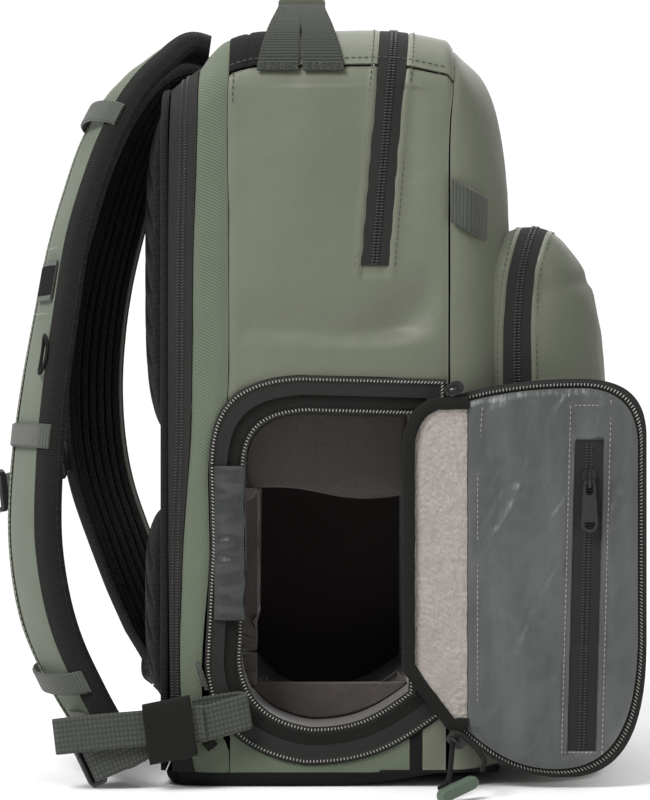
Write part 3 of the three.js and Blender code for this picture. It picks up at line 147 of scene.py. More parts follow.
# x as a share of the body's depth, then half width and top as shares
BODY_ROWS = [
    (0, 0.945, 0.92),
    (0.05, 0.972, 0.934),
    (0.107, 0.99, 0.949),
    (0.165, 0.998, 0.973),
    (0.214, 1, 0.988),
    (0.284, 1, 0.997),
    (0.353, 1, 1),
    (0.568, 1, 1),
    (0.82, 1, 1),
    (1, 1, 0.988),
    (1.3, 0.974, 0.97),
    (1.57, 0.905, 0.958),
    (1.82, 0.78, 0.95),
    (1.95, 0.62, 0.944),
    (2, 0.42, 0.941),
]
LEAN_ROWS = [(0, 0.08), (0.2, 0), (0.78, 0), (0.836, 0.06), (0.906, 0.22), (0.96, 0.42)]
# height share, then the zip, gusset, side and front seams as shares of the depth
SEAM_ROWS = [
    (0.02, 0.02, 0.1, 0.2, 1),
    (0.12, 0.012, 0.05, 0.128, 1),
    (0.32, 0.006, 0.056, 0.16, 1),
    (0.5, 0.004, 0.086, 0.216, 1),
    (0.76, 0.004, 0.096, 0.22, 1),
    (0.88, 0.006, 0.107, 0.216, 1.006),
    (0.96, 0.01, 0.11, 0.222, 1.04),
]
SEAMS = {"zip": 1, "gusset": 2, "side": 3, "front": 4}
# side, x share, z share, turn in degrees, length, breadth, depth
FOLD_ROWS = [
    (-1, 0.66, 0.575, 32, 0.62, 0.13, 0.03),
    (-1, 0.84, 0.61, 50, 0.4, 0.11, 0.022),
    (-1, 0.45, 0.6, -12, 0.45, 0.13, 0.016),
    (-1, 0.5, 0.84, 80, 0.5, 0.2, -0.018),
    (-1, 0.86, 0.84, 88, 0.7, 0.07, 0.016),
    (1, 0.5, 0.6, 20, 0.7, 0.14, 0.02),
    (1, 0.55, 0.3, -30, 0.6, 0.16, 0.026),
    (1, 0.5, 0.82, 70, 0.6, 0.2, -0.016),
]
# share of the pocket's depth, half width, top, low, push
POCKET_ROWS = [
    (-0.65, 1, 0.972, 0, 0),
    (-0.25, 1, 0.982, 0, 0),
    (0.1, 0.995, 1, 0, 0.1),
    (0.42, 0.962, 0.992, 0.002, 0.4),
    (0.7, 0.875, 0.95, 0.006, 0.8),
    (0.91, 0.74, 0.895, 0.018, 1),
    (1, 0.55, 0.84, 0.036, 1),
]
# x as a share of the reach, y of half the width, z of the height, width share, turn
STRAP_NEAR = [
    (0.25, -0.36, 0.984, 0.86, 4),
    (0.1, -0.385, 0.988, 0.88, 8),
    (-0.07, -0.41, 0.968, 0.92, 14),
    (-0.31, -0.455, 0.925, 0.96, 18),
    (-0.5, -0.5, 0.86, 1, 18),
    (-0.63, -0.53, 0.79, 1, 17),
    (-0.73, -0.55, 0.722, 1, 17),
    (-0.83, -0.58, 0.614, 1, 19),
    (-0.91, -0.605, 0.512, 1, 21),
    (-0.96, -0.635, 0.41, 1, 23),
    (-0.96, -0.67, 0.31, 1, 24),
    (-0.86, -0.72, 0.212, 0.98, 26),
    (-0.67, -0.78, 0.135, 0.9, 28),
    (-0.45, -0.86, 0.072, 0.76, 30),
    (-0.27, -0.92, 0.034, 0.5, 30),
]
STRAP_FAR = [
    (0.25, 0.36, 0.984, 0.86, -4),
    (0.1, 0.385, 0.988, 0.88, -8),
    (-0.06, 0.4, 0.968, 0.92, -14),
    (-0.24, 0.43, 0.918, 0.96, -18),
    (-0.42, 0.47, 0.84, 1, -20),
    (-0.55, 0.5, 0.76, 1, -21),
    (-0.66, 0.53, 0.68, 1, -22),
    (-0.73, 0.56, 0.6, 1, -23),
    (-0.755, 0.59, 0.52, 1, -23),
    (-0.735, 0.62, 0.44, 1, -24),
    (-0.67, 0.65, 0.375, 1, -24),
    (-0.53, 0.69, 0.295, 0.98, -25),
    (-0.4, 0.74, 0.225, 0.94, -26),
    (-0.28, 0.8, 0.16, 0.8, -28),
    (-0.2, 0.86, 0.112, 0.54, -28),
]
HANDLE_ROWS = [(-0.397, 0), (-0.36, 0), (-0.31, 1), (-0.215, 10.5), (-0.1, 17.5)]

_low, _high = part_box("base_panel")
ORIGIN = Vector((_low[0], (_low[1] + _high[1]) / 2, 0))


def metres(p):
    """A point of the bag in millimetres as a point of the frame in metres."""
    return Vector((p[0] * MM + ORIGIN.x, p[1] * MM + ORIGIN.y, p[2] * MM))


# Curves and surfaces


def mix(a, b, t):
    return a + (b - a) * t


def clamp(value, low=0.0, high=1.0):
    return max(low, min(high, value))


def smooth(low, high, value):
    t = clamp((value - low) / (high - low))
    return t * t * (3 - 2 * t)


def between(rows, value, column):
    """A value between the rows of a table, eased so that the outline has no corners."""
    if value <= rows[0][0]:
        return rows[0][column]
    if value >= rows[-1][0]:
        return rows[-1][column]
    k = next(i for i, row in enumerate(rows) if row[0] > value) - 1
    a, b = rows[k], rows[k + 1]

    def slope(i):
        p, q = rows[max(i - 1, 0)], rows[min(i + 1, len(rows) - 1)]
        return (q[column] - p[column]) / (q[0] - p[0])

    span = b[0] - a[0]
    t = (value - a[0]) / span
    rise = span * (slope(k) * t * (1 - t) ** 2 - slope(k + 1) * t * t * (1 - t))
    return mix(a[column], b[column], t * t * (3 - 2 * t)) + rise


class Route:
    """A smooth path through points."""

    def __init__(self, points):
        self.points = [Vector(p) for p in points]

    def at(self, u):
        pts = self.points
        last = len(pts) - 1
        spot = clamp(u) * last
        k = min(int(spot), last - 1)
        t = spot - k
        p1, p2 = pts[k], pts[k + 1]
        p0 = pts[k - 1] if k > 0 else 2 * p1 - p2
        p3 = pts[k + 2] if k + 2 <= last else 2 * p2 - p1
        d0, d1, d2 = (max((b - a).length, 1e-6) ** 0.5 for a, b in ((p0, p1), (p1, p2), (p2, p3)))
        t1 = ((p1 - p0) / d0 - (p2 - p0) / (d0 + d1) + (p2 - p1) / d1) * d1
        t2 = ((p2 - p1) / d1 - (p3 - p1) / (d1 + d2) + (p3 - p2) / d2) * d1
        c2 = -3 * p1 + 3 * p2 - 2 * t1 - t2
        c3 = 2 * p1 - 2 * p2 + t1 + t2
        return p1 + t1 * t + c2 * t * t + c3 * t * t * t

    def along(self, u):
        step = 1e-3
        return (self.at(min(1, u + step)) - self.at(max(0, u - step))).normalized()

    def column(self, values):
        last = len(values) - 1

        def value(u):
            spot = clamp(u) * last
            k = min(int(spot), last - 1)
            return mix(values[k], values[k + 1], spot - k)

        return value

    def sample(self, count):
        return [self.at(i / count) for i in range(count + 1)]


def fold_depth(side, x, z):
    """How far the folds of one side push its skin out at a place."""
    depth = 0.0
    for row in FOLD_ROWS:
        if row[0] != side:
            continue
        dx, dz = x - row[1] * BODY_DEPTH, z - row[2] * BAG_HEIGHT
        angle = math.radians(row[3])
        along = (dx * math.cos(angle) + dz * math.sin(angle)) / (row[4] * BODY_DEPTH)
        across = (dz * math.cos(angle) - dx * math.sin(angle)) / (row[5] * BODY_DEPTH)
        depth += row[6] * math.exp(-along * along * 4 - across * across * 2)
    if side < 0:
        edge = min(x - 0.22 * BODY_DEPTH, BODY_DEPTH - x, z - 1.06 * OPENING[3], TOP_SEAM_HEIGHT - z)
    else:
        edge = min(x, BODY_DEPTH - x, z)
    return depth * smooth(0, 14, edge) * SIDE_PLANE


def arch_point(half, top, bottom, round_, crown, s, inset):
    """A point of an arch: s runs from -1 at the near foot over the top to 1 at the far foot."""
    t = abs(s)
    half, top, round_ = half - inset, top - inset, round_ - inset
    y = half
    z = mix(top - round_, bottom, (t - ARCH_BEND) / (1 - ARCH_BEND))
    if t < ARCH_FLAT:
        y = (half - round_) * t / ARCH_FLAT
        z = top + crown * (1 - (t / ARCH_FLAT) ** 2)
    elif t < ARCH_BEND:
        angle = (t - ARCH_FLAT) / (ARCH_BEND - ARCH_FLAT) * math.pi / 2
        y = half - round_ + round_ * math.sin(angle)
        z = top - round_ + round_ * math.cos(angle)
    return math.copysign(y, s) if y else 0.0, z


def body_section(x):
    """Half width, top, bottom, corner radius and crown of the arch at one depth."""
    share = x / BODY_DEPTH if x <= BODY_DEPTH else 1 + (x - BODY_DEPTH) / FRONT_BULGE
    half = between(BODY_ROWS, share, 1) * SIDE_PLANE
    top = between(BODY_ROWS, share, 2) * BAG_HEIGHT
    return half, top, BASE_HEIGHT + CLEARANCE, SHOULDER_ROUND, TOP_CROWN


def body_point(x, s, inset=0.0):
    y, z = arch_point(*body_section(x), s, inset)
    lean = max(0.0, x - BODY_DEPTH) * between(LEAN_ROWS, z / BAG_HEIGHT, 1)
    side = -1 if s < 0 else 1
    sides = fold_depth(side, x, z) if abs(s) > ARCH_BEND else 0
    return Vector((x - lean, y - side * sides, z))


def s_at(x, z, side=-1):
    """Where on the arch at x the side panel has height z."""
    _, top, bottom, round_, _ = body_section(x)
    rise = (top - round_ - z) / (top - round_ - bottom)
    return side * (ARCH_BEND + (1 - ARCH_BEND) * rise)


def seam_place(name, z, side):
    share = z / BAG_HEIGHT
    if side > 0:
        share = max(share, STRAIGHT_HEIGHT)
    return between(SEAM_ROWS, share, SEAMS[name]) * BODY_DEPTH


def pocket_point(share, s, inset=0.0):
    half = between(POCKET_ROWS, share, 1) * POCKET_WIDTH / 2
    top = between(POCKET_ROWS, share, 2) * POCKET_HEIGHT
    bottom = POCKET_FOOT + between(POCKET_ROWS, share, 3) * POCKET_HEIGHT + inset
    y, z = arch_point(half, top, bottom, SHOULDER_ROUND * 0.8, 0, s, inset)
    rise = clamp(z / POCKET_HEIGHT)
    belly = between(POCKET_ROWS, share, 4) * POCKET_BELLY * POCKET_DEPTH
    belly *= math.sin(math.pi * min(1, rise * 1.15) ** 0.8)
    return Vector((POCKET_START + share * POCKET_DEPTH + belly, y, z))


def bezier(points, count):
    """Points of a cubic or quadratic curve in the plane, without the first."""
    out = []
    for i in range(1, count + 1):
        t = i / count
        row = list(points)
        while len(row) > 1:
            row = [tuple(mix(a, b, t) for a, b in zip(p, q)) for p, q in zip(row, row[1:])]
        out.append(row[0])
    return out


def opening_outline(inset, fine=14):
    x0, x1, z0, z1 = OPENING[0] + inset, OPENING[1] - inset, OPENING[2] + inset, OPENING[3] - inset
    w = (x1 - x0) / 12
    start = (x0 + 0.2 * w, z1 - 4.4 * w)
    out = [start]
    back_shoulder = [(x0 + 0.27 * w, z1 - 1.4 * w), (x0 + 1.4 * w, z1 - 0.2 * w), (x0 + 4.7 * w, z1)]
    out += bezier([start] + back_shoulder, fine)
    out += bezier([out[-1], (x1, z1 - 0.2 * w)], fine)
    out += bezier([out[-1], (x1, z0 + 2.6 * w)], 2 * fine)
    out += bezier([out[-1], (x0 + 9.5 * w, z0 + 0.7 * w), (x0 + 8 * w, z0), (x0 + 5 * w, z0)], fine)
    back_foot = [(x0 + 1.6 * w, z0 + 0.5 * w), (x0 + 0.1 * w, z0 + 2.4 * w), (x0, z0 + 5 * w)]
    out += bezier([out[-1]] + back_foot, fine)
    out += bezier([out[-1], (x0 + 0.3 * w, z0 + 11 * w)], fine)
    out += bezier([out[-1], start], fine)[:-1]
    return out


def door_outline(inset, fine=12):
    x0, x1, z0, z1 = DOOR[0], DOOR[1] - inset, DOOR[2] + inset, DOOR[3] - inset
    w = DOOR[1] - DOOR[0]
    out = [(x0, z1 - 0.09 * w)]
    out += bezier([out[-1], (x0 + 0.2 * w, z1 - 0.03 * w), (x0 + 0.4 * w, z1), (x0 + 0.66 * w, z1)], fine)
    out += bezier([out[-1], (x1 - 0.12 * w, z1), (x1, z1 - 0.08 * w), (x1, z1 - 0.3 * w)], fine)
    out += bezier([out[-1], (x1, z0 + 0.7 * w)], fine)
    out += bezier([out[-1], (x1, z0 + 0.2 * w), (x1 - 0.14 * w, z0), (x1 - 0.42 * w, z0)], fine)
    out += bezier([out[-1], (x0 + 0.36 * w, z0), (x0 + 0.2 * w, z0 + 0.06 * w), (x0, z0 + 0.28 * w)], fine)
    return out


def edge_height(outline, x, top):
    """Height of an outline's upper or lower edge at x."""
    found = None
    for (xa, za), (xb, zb) in zip(outline, outline[1:] + outline[:1]):
        if min(xa, xb) <= x <= max(xa, xb) and abs(xa - xb) > 1e-6:
            z = mix(za, zb, (x - xa) / (xb - xa))
            if found is None or (z > found if top else z < found):
                found = z
    return found


def edge_place(outline, z):
    """Lowest x of an outline at height z, or a large value where it has none."""
    found = 1e9
    for (xa, za), (xb, zb) in zip(outline, outline[1:] + outline[:1]):
        if min(za, zb) <= z <= max(za, zb) and abs(za - zb) > 1e-6:
            found = min(found, mix(xa, xb, (z - za) / (zb - za)))
    return found


# Meshes


def grid(surface, columns, rows):
    """Points of a surface given for u and v from 0 to 1."""
    lines = [[surface(i / columns, j / rows)[:] for j in range(rows + 1)] for i in range(columns + 1)]
    return np.array(lines)


def grid_normals(points, hint):
    du = np.gradient(points, axis=0)
    dv = np.gradient(points, axis=1)
    n = np.cross(du, dv)
    n /= np.maximum(np.linalg.norm(n, axis=2, keepdims=True), 1e-9)
    away = np.sum(n * (hint if hint is not None else points - np.array([80.0, 0.0, 200.0])))
    return n if away > 0 else -n


def lengths(points):
    u = np.zeros(points.shape[:2])
    v = np.zeros(points.shape[:2])
    u[1:] = np.cumsum(np.linalg.norm(np.diff(points, axis=0), axis=2), axis=0)
    v[:, 1:] = np.cumsum(np.linalg.norm(np.diff(points, axis=1), axis=2), axis=1)
    u = np.broadcast_to(u.mean(axis=1, keepdims=True), u.shape)
    return u, v - v.mean(axis=1, keepdims=True)


def mesh_object(name, verts, faces, uvs=None, smooth_faces=True):
    mesh = bpy.data.meshes.new(name)
    moved = np.asarray(verts, dtype=float) * MM + np.array(ORIGIN)
    mesh.from_pydata(moved.tolist(), [], faces)
    if uvs is not None:
        layer = mesh.uv_layers.new(name="cloth")
        corner = np.zeros(len(mesh.loops), dtype=np.int32)
        mesh.loops.foreach_get("vertex_index", corner)
        layer.data.foreach_set("uv", np.asarray(uvs, dtype=np.float32)[corner].ravel())
    mesh.polygons.foreach_set("use_smooth", [smooth_faces] * len(mesh.polygons))
    mesh.update()
    obj = bpy.data.objects.new(name, mesh)
    bpy.context.scene.collection.objects.link(obj)
    return obj


def shell(name, points, thick, hint=None, ring=False, close=True):
    """Cloth of some thickness behind a grid of points. A ring joins its last column to its first."""
    nu, nv = points.shape[0] - 1, points.shape[1] - 1
    n = grid_normals(points, hint)
    if ring:
        n[0] = n[-1] = (n[0] + n[-1]) / 2
    u, v = lengths(points)
    uv = np.stack([u, v], axis=2).reshape(-1, 2) * MM
    outer = points.reshape(-1, 3)
    back = thick if np.ndim(thick) else np.full(points.shape[:2], float(thick))
    inner = (points - n * back[..., None]).reshape(-1, 3)
    count = len(outer)
    w = nv + 1
    faces = []
    for i in range(nu):
        for j in range(nv):
            a, b, c, d = i * w + j, (i + 1) * w + j, (i + 1) * w + j + 1, i * w + j + 1
            faces.append((a, b, c, d))
            if close:
                faces.append((count + a, count + d, count + c, count + b))
    if close:
        for i in range(nu):
            a, b = i * w, (i + 1) * w
            faces.append((b, a, count + a, count + b))
            a, b = i * w + nv, (i + 1) * w + nv
            faces.append((a, b, count + b, count + a))
        if not ring:
            for j in range(nv):
                faces.append((j, j + 1, count + j + 1, count + j))
                a, b = nu * w + j, nu * w + j + 1
                faces.append((b, a, count + a, count + b))
    verts = np.concatenate([outer, inner]) if close else outer
    uvs = np.concatenate([uv, uv]) if close else uv
    obj = mesh_object(name, verts, faces, uvs)
    tidy(obj, ring)
    return obj


def tidy(obj, merge):
    work = bmesh.new()
    work.from_mesh(obj.data)
    if merge:
        bmesh.ops.remove_doubles(work, verts=work.verts, dist=1e-6)
    bmesh.ops.recalc_face_normals(work, faces=work.faces)
    sharp = math.radians(50)
    for edge in work.edges:
        if len(edge.link_faces) == 2 and edge.calc_face_angle(0) > sharp:
            edge.smooth = False
    work.to_mesh(obj.data)
    work.free()


def tube(name, points, radius, sides=8, closed=False, squash=1.0):
    """A round piece along points, such as piping or a cord."""
    path = [Vector(p) for p in points]
    count = len(path)
    verts, uvs = [], []
    normal = None
    run = 0.0
    for i, p in enumerate(path):
        ahead = path[(i + 1) % count] if closed or i + 1 < count else path[i]
        behind = path[i - 1] if closed or i > 0 else path[i]
        along = (ahead - behind).normalized()
        if normal is None:
            normal = along.orthogonal().normalized()
        normal = (normal - along * normal.dot(along)).normalized()
        side = along.cross(normal)
        if i:
            run += (p - path[i - 1]).length
        for k in range(sides):
            angle = 2 * math.pi * k / sides
            verts.append(p + normal * math.cos(angle) * radius + side * math.sin(angle) * radius * squash)
            uvs.append((run * MM, k / sides * 2 * math.pi * radius * MM))
    faces = []
    rings = count if closed else count - 1
    for i in range(rings):
        for k in range(sides):
            a, b = i * sides + k, i * sides + (k + 1) % sides
            c, d = ((i + 1) % count) * sides + (k + 1) % sides, ((i + 1) % count) * sides + k
            faces.append((a, b, c, d))
    if not closed:
        faces.append(tuple(range(sides))[::-1])
        faces.append(tuple((count - 1) * sides + k for k in range(sides)))
    obj = mesh_object(name, [v[:] for v in verts], faces, uvs)
    tidy(obj, False)
    return obj


class Bits:
    """Many small spindles in one mesh: stitches and zip teeth."""

    def __init__(self):
        self.rows = []

    def add(self, a, b, radius):
        self.rows.append((*a, *b, radius))

    def stitches(self, points, pitch=3.4, length=2.3, radius=0.3, start=0.0):
        """Dashes along a path."""
        path = np.array([p[:] for p in points])
        steps = np.linalg.norm(np.diff(path, axis=0), axis=1)
        run = np.concatenate([[0], np.cumsum(steps)])
        spot = start
        while spot + length < run[-1]:
            ends = [np.interp(t, run, path[:, k]) for t in (spot, spot + length) for k in range(3)]
            self.rows.append((*ends, radius))
            spot += pitch

    def teeth(self, left, right, pitch, radius):
        """Short bars from one path to another, evenly along them."""
        a = np.array([p[:] for p in left])
        b = np.array([p[:] for p in right])
        steps = np.linalg.norm(np.diff((a + b) / 2, axis=0), axis=1)
        run = np.concatenate([[0], np.cumsum(steps)])
        for spot in np.arange(pitch / 2, run[-1], pitch):
            p, q = ([np.interp(spot, run, row[:, k]) for k in range(3)] for row in (a, b))
            self.rows.append((*p, *q, radius))

    def build(self, name):
        data = np.array(self.rows)
        a, b, r = data[:, 0:3], data[:, 3:6], data[:, 6:7]
        along = b - a
        along /= np.maximum(np.linalg.norm(along, axis=1, keepdims=True), 1e-9)
        helper = np.where(np.abs(along[:, 2:3]) < 0.9, [[0.0, 0.0, 1.0]], [[1.0, 0.0, 0.0]])
        n1 = np.cross(along, helper)
        n1 /= np.linalg.norm(n1, axis=1, keepdims=True)
        n2 = np.cross(along, n1)
        rings = []
        for share, size in ((0.0, 0.35), (0.22, 1.0), (0.78, 1.0), (1.0, 0.35)):
            centre = a + (b - a) * share
            for k in range(4):
                angle = math.pi / 2 * k
                rings.append(centre + (n1 * math.cos(angle) + n2 * math.sin(angle)) * r * size)
        verts = np.stack(rings, axis=1).reshape(-1, 3)
        faces = []
        for i in range(len(data)):
            o = i * 16
            for ring in range(3):
                for k in range(4):
                    p, q = o + ring * 4 + k, o + ring * 4 + (k + 1) % 4
                    faces.append((p, q, q + 4, p + 4))
            faces.append((o + 3, o + 2, o + 1, o))
            faces.append((o + 12, o + 13, o + 14, o + 15))
        return mesh_object(name, verts, faces)


# Materials


def linear(r, g, b):
    """A display colour from 0 to 255 as the linear colour that shaders take."""
    return tuple(((c / 255 + 0.055) / 1.055) ** 2.4 if c > 10 else c / 255 / 12.92 for c in (r, g, b))


class Look:
    """Builds one material's nodes."""

    def __init__(self, name, roughness=0.8, metallic=0.0, sheen=0.0):
        self.mat = bpy.data.materials.new(name)
        self.mat.use_nodes = True
        self.tree = self.mat.node_tree
        self.tree.nodes.clear()
        self.out = self.tree.nodes.new("ShaderNodeOutputMaterial")
        self.shader = self.tree.nodes.new("ShaderNodeBsdfPrincipled")
        self.tree.links.new(self.shader.outputs[0], self.out.inputs[0])
        self.shader.inputs["Roughness"].default_value = roughness
        self.shader.inputs["Metallic"].default_value = metallic
        self.shader.inputs["Sheen Weight"].default_value = sheen
        self.shader.inputs["Sheen Roughness"].default_value = 0.5

    def put(self, socket, value):
        if hasattr(value, "is_linked"):
            self.tree.links.new(value, socket)
        else:
            socket.default_value = value

    def math(self, operation, a, b=0.0, c=None):
        node = self.tree.nodes.new("ShaderNodeMath")
        node.operation = operation
        self.put(node.inputs[0], a)
        self.put(node.inputs[1], b)
        if c is not None:
            self.put(node.inputs[2], c)
        return node.outputs[0]

    def coordinates(self, kind):
        return self.tree.nodes.new("ShaderNodeTexCoord").outputs[kind]

    def axes(self, kind="UV"):
        """The two cloth axes in millimetres."""
        split = self.tree.nodes.new("ShaderNodeSeparateXYZ")
        self.put(split.inputs[0], self.coordinates(kind))
        return [self.math("MULTIPLY", split.outputs[i], 1000.0) for i in range(3)]

    def wave(self, u, v, a, b):
        """A sine from 0 to 1, with a and b waves per millimetre along the two axes."""
        across = self.math("MULTIPLY", u, 2 * math.pi * a)
        spot = self.math("ADD", across, self.math("MULTIPLY", v, 2 * math.pi * b))
        return self.math("MULTIPLY_ADD", self.math("SINE", spot), 0.5, 0.5)

    def noise(self, scale, detail=2.0, kind="Object", stretch=None, rough=0.5):
        node = self.tree.nodes.new("ShaderNodeTexNoise")
        node.inputs["Scale"].default_value = scale
        node.inputs["Detail"].default_value = detail
        node.inputs["Roughness"].default_value = rough
        place = self.coordinates(kind)
        if stretch:
            mapping = self.tree.nodes.new("ShaderNodeMapping")
            mapping.inputs["Rotation"].default_value = stretch[0]
            mapping.inputs["Scale"].default_value = stretch[1]
            self.put(mapping.inputs["Vector"], place)
            place = mapping.outputs[0]
        self.put(node.inputs["Vector"], place)
        return node.outputs[0]

    def cells(self, scale, feature="F1"):
        node = self.tree.nodes.new("ShaderNodeTexVoronoi")
        node.feature = feature
        node.inputs["Scale"].default_value = scale
        self.put(node.inputs["Vector"], self.coordinates("UV"))
        return node.outputs["Distance"]

    def blend(self, factor, a, b):
        node = self.tree.nodes.new("ShaderNodeMix")
        node.data_type = "RGBA"
        self.put(node.inputs[0], factor)
        for slot, value in ((6, a), (7, b)):
            self.put(node.inputs[slot], value if hasattr(value, "is_linked") else (*value, 1.0))
        return node.outputs[2]

    def ramp(self, value, low, high):
        node = self.tree.nodes.new("ShaderNodeMapRange")
        self.put(node.inputs[0], value)
        node.inputs[1].default_value = low
        node.inputs[2].default_value = high
        return node.outputs[0]

    def colour(self, value):
        self.put(self.shader.inputs["Base Color"], value)

    def bump(self, *layers):
        """Layers of a height from 0 to 1 and its depth in metres."""
        normal = None
        for height, depth in layers:
            node = self.tree.nodes.new("ShaderNodeBump")
            node.inputs["Distance"].default_value = depth
            self.put(node.inputs["Height"], height)
            if normal is not None:
                self.put(node.inputs["Normal"], normal)
            normal = node.outputs[0]
        self.put(self.shader.inputs["Normal"], normal)


def tint(colour, share):
    """A colour times a share."""
    return tuple(min(1.0, c * share) for c in colour)


BROAD_PATCHES = 18.0
SHEEN = 0.0


def weave_look(name, colour, weave, contrast, depth, patches, **shader):
    """Woven cloth: weave(look, u, v) gives the height of the yarns from 0 to 1."""
    look = Look(name, **shader)
    look.shader.inputs["Specular IOR Level"].default_value = 0.2
    u, v, _ = look.axes()
    height = weave(look, u, v)
    base = look.blend(height, tint(colour, 1 - contrast), tint(colour, 1 + contrast * 0.6))
    patch = look.ramp(look.noise(patches, 3.0), 0.3, 0.7)
    worn = look.blend(look.math("MULTIPLY", patch, 0.12), base, tint(colour, 1.7))
    look.colour(worn)
    look.bump((height, depth), (look.noise(90.0, 3.0), 0.00015))
    return look.mat


def twill(look, u, v):
    """Diagonal yarns of twill."""
    diagonal = look.wave(u, v, 0.55, 0.55)
    dots = look.wave(u, v, 0.55, -0.55)
    return look.math("MULTIPLY_ADD", diagonal, 0.6, look.math("MULTIPLY", dots, 0.4))


def plain(pitch):
    """Yarns that cross in a plain weave."""

    def weave(look, u, v):
        across = look.math("SUBTRACT", look.wave(u, v, 1 / pitch, 0), 0.5)
        along = look.math("SUBTRACT", look.wave(u, v, 0, 1 / pitch), 0.5)
        return look.math("MULTIPLY_ADD", look.math("MULTIPLY", across, along), 2.0, 0.5)

    return weave


def ribs(pitch, yarn):
    """Ribs across webbing."""

    def weave(look, u, v):
        rib = look.wave(u, v, 1 / pitch, 0)
        fine = look.wave(u, v, 0.25 / pitch, 1 / yarn)
        return look.math("MULTIPLY_ADD", rib, 0.65, look.math("MULTIPLY", fine, 0.35))

    return weave


def waffle(look, u, v):
    """Square cells of webbing."""
    cell = look.math("MULTIPLY", look.wave(u, v, 0.42, 0), look.wave(u, v, 0, 0.36))
    fine = look.wave(u, v, 1.3, 1.3)
    return look.math("MULTIPLY_ADD", look.math("SQRT", cell), 0.8, look.math("MULTIPLY", fine, 0.2))


def chevron(look, u, v):
    """Herringbone of zip tape."""
    rows = look.math("FRACT", look.math("MULTIPLY", v, 0.3))
    turn = look.math("ABSOLUTE", look.math("SUBTRACT", rows, 0.5))
    spot = look.math("MULTIPLY_ADD", turn, 3.2, look.math("MULTIPLY", u, 1.1))
    return look.math("MULTIPLY_ADD", look.math("SINE", look.math("MULTIPLY", spot, 2 * math.pi)), 0.5, 0.5)


def air_mesh(look, u, v):
    """Knit mesh with holes."""
    holes = look.ramp(look.cells(620.0), 0.15, 0.6)
    chain = look.wave(u, v, 0.0, 0.32)
    knit = look.math("SUBTRACT", 1.0, holes)
    return look.math("MULTIPLY_ADD", knit, 0.7, look.math("MULTIPLY", chain, 0.3))


def coated_look(name, colour):
    """Cloth with a smooth matt coating, soft broad sheen and paler edges."""
    look = Look(name, roughness=0.52, sheen=0.12)
    look.shader.inputs["Specular IOR Level"].default_value = 0.42
    u, v, _ = look.axes()
    fine = plain(0.62)(look, u, v)
    cloud = look.ramp(look.noise(7.0, 3.0), 0.3, 0.72)
    base = look.blend(cloud, tint(colour, 0.9), tint(colour, 1.08))
    speck = look.ramp(look.noise(420.0, 2.0), 0.35, 0.75)
    base = look.blend(look.math("MULTIPLY", speck, 0.16), base, tint(colour, 1.35))
    geometry = look.tree.nodes.new("ShaderNodeNewGeometry")
    edge = look.ramp(geometry.outputs["Pointiness"], 0.52, 0.6)
    look.colour(look.blend(look.math("MULTIPLY", edge, 0.3), base, tint(colour, 1.5)))
    look.bump((fine, 0.00002), (look.noise(34.0, 3.0), 0.0005), (look.noise(900.0, 2.0), 0.00002))
    return look.mat


def nylon_look(name, colour):
    """Satin lining: fine yarns and slanting soft creases, with painted shade and painted highlight along the creases.
    """
    look = Look(name, roughness=0.36, sheen=0.15)
    u, v, _ = look.axes()
    yarn = look.wave(u, v, 1.9, 0.12)
    crease = look.noise(26.0, 4.0, stretch=((0.0, 0.5, 0.0), (2.4, 1.0, 0.5)))
    fine = look.noise(75.0, 4.0, stretch=((0.0, 0.7, 0.0), (2.6, 1.0, 0.6)))
    # Painted shade and painted highlight: the colour darkens and lightens with the same crease noise that bumps the
    # cloth.
    soft = look.ramp(crease, 0.3, 0.7)
    base = look.blend(soft, tint(colour, 0.72), tint(colour, 1.26))
    look.colour(look.blend(look.math("MULTIPLY", yarn, 0.16), base, tint(colour, 1.4)))
    look.bump((yarn, 0.00002), (crease, 0.0024), (fine, 0.0008))
    return look.mat


def fleece_look(name, colour):
    look = Look(name, roughness=0.95, sheen=0.5)
    loops = look.noise(620.0, 3.0, rough=0.7)
    tufts = look.noise(160.0, 4.0, rough=0.65)
    lines = look.math("MULTIPLY_ADD", look.wave(*look.axes()[:2], 0.0, 0.28), 0.25, 0.0)
    patch = look.math("ADD", look.ramp(loops, 0.32, 0.68), lines)
    base = look.blend(patch, tint(colour, 0.62), tint(colour, 1.12))
    look.colour(look.blend(look.ramp(tufts, 0.3, 0.75), tint(colour, 0.74), base))
    look.bump((loops, 0.0007), (tufts, 0.0012))
    return look.mat


def nap_look(name, colour):
    """Brushed knit that hook tape grips."""
    look = Look(name, roughness=0.96, sheen=0.35)
    nap = look.noise(900.0, 3.0)
    patch = look.ramp(look.noise(24.0, 4.0), 0.3, 0.72)
    base = look.blend(look.ramp(nap, 0.3, 0.7), tint(colour, 0.75), tint(colour, 1.25))
    look.colour(look.blend(look.math("MULTIPLY", patch, 0.3), base, tint(colour, 1.8)))
    look.bump((nap, 0.0002), (look.noise(60.0, 3.0), 0.0006))
    return look.mat


def hard_look(name, colour, roughness, metallic=0.0, grain=0.00006):
    """Moulded plastic or plated metal with a fine grain and paler rubbed spots."""
    look = Look(name, roughness=roughness, metallic=metallic)
    rub = look.ramp(look.noise(160.0, 3.0), 0.45, 0.75)
    geometry = look.tree.nodes.new("ShaderNodeNewGeometry")
    edge = look.ramp(geometry.outputs["Pointiness"], 0.5, 0.58)
    base = look.blend(look.math("MULTIPLY", rub, 0.35), tint(colour, 0.9), tint(colour, 1.5))
    look.colour(look.blend(look.math("MULTIPLY", edge, 0.5), base, tint(colour, 2.4)))
    look.bump((look.noise(1500.0, 2.0), grain))
    return look.mat


def thread_look(name, colour):
    """Twisted sewing thread."""
    look = Look(name, roughness=0.7, sheen=0.2)
    twist = look.noise(2600.0, 1.0)
    look.colour(look.blend(look.ramp(twist, 0.3, 0.7), tint(colour, 0.75), tint(colour, 1.15)))
    look.bump((twist, 0.00008))
    return look.mat


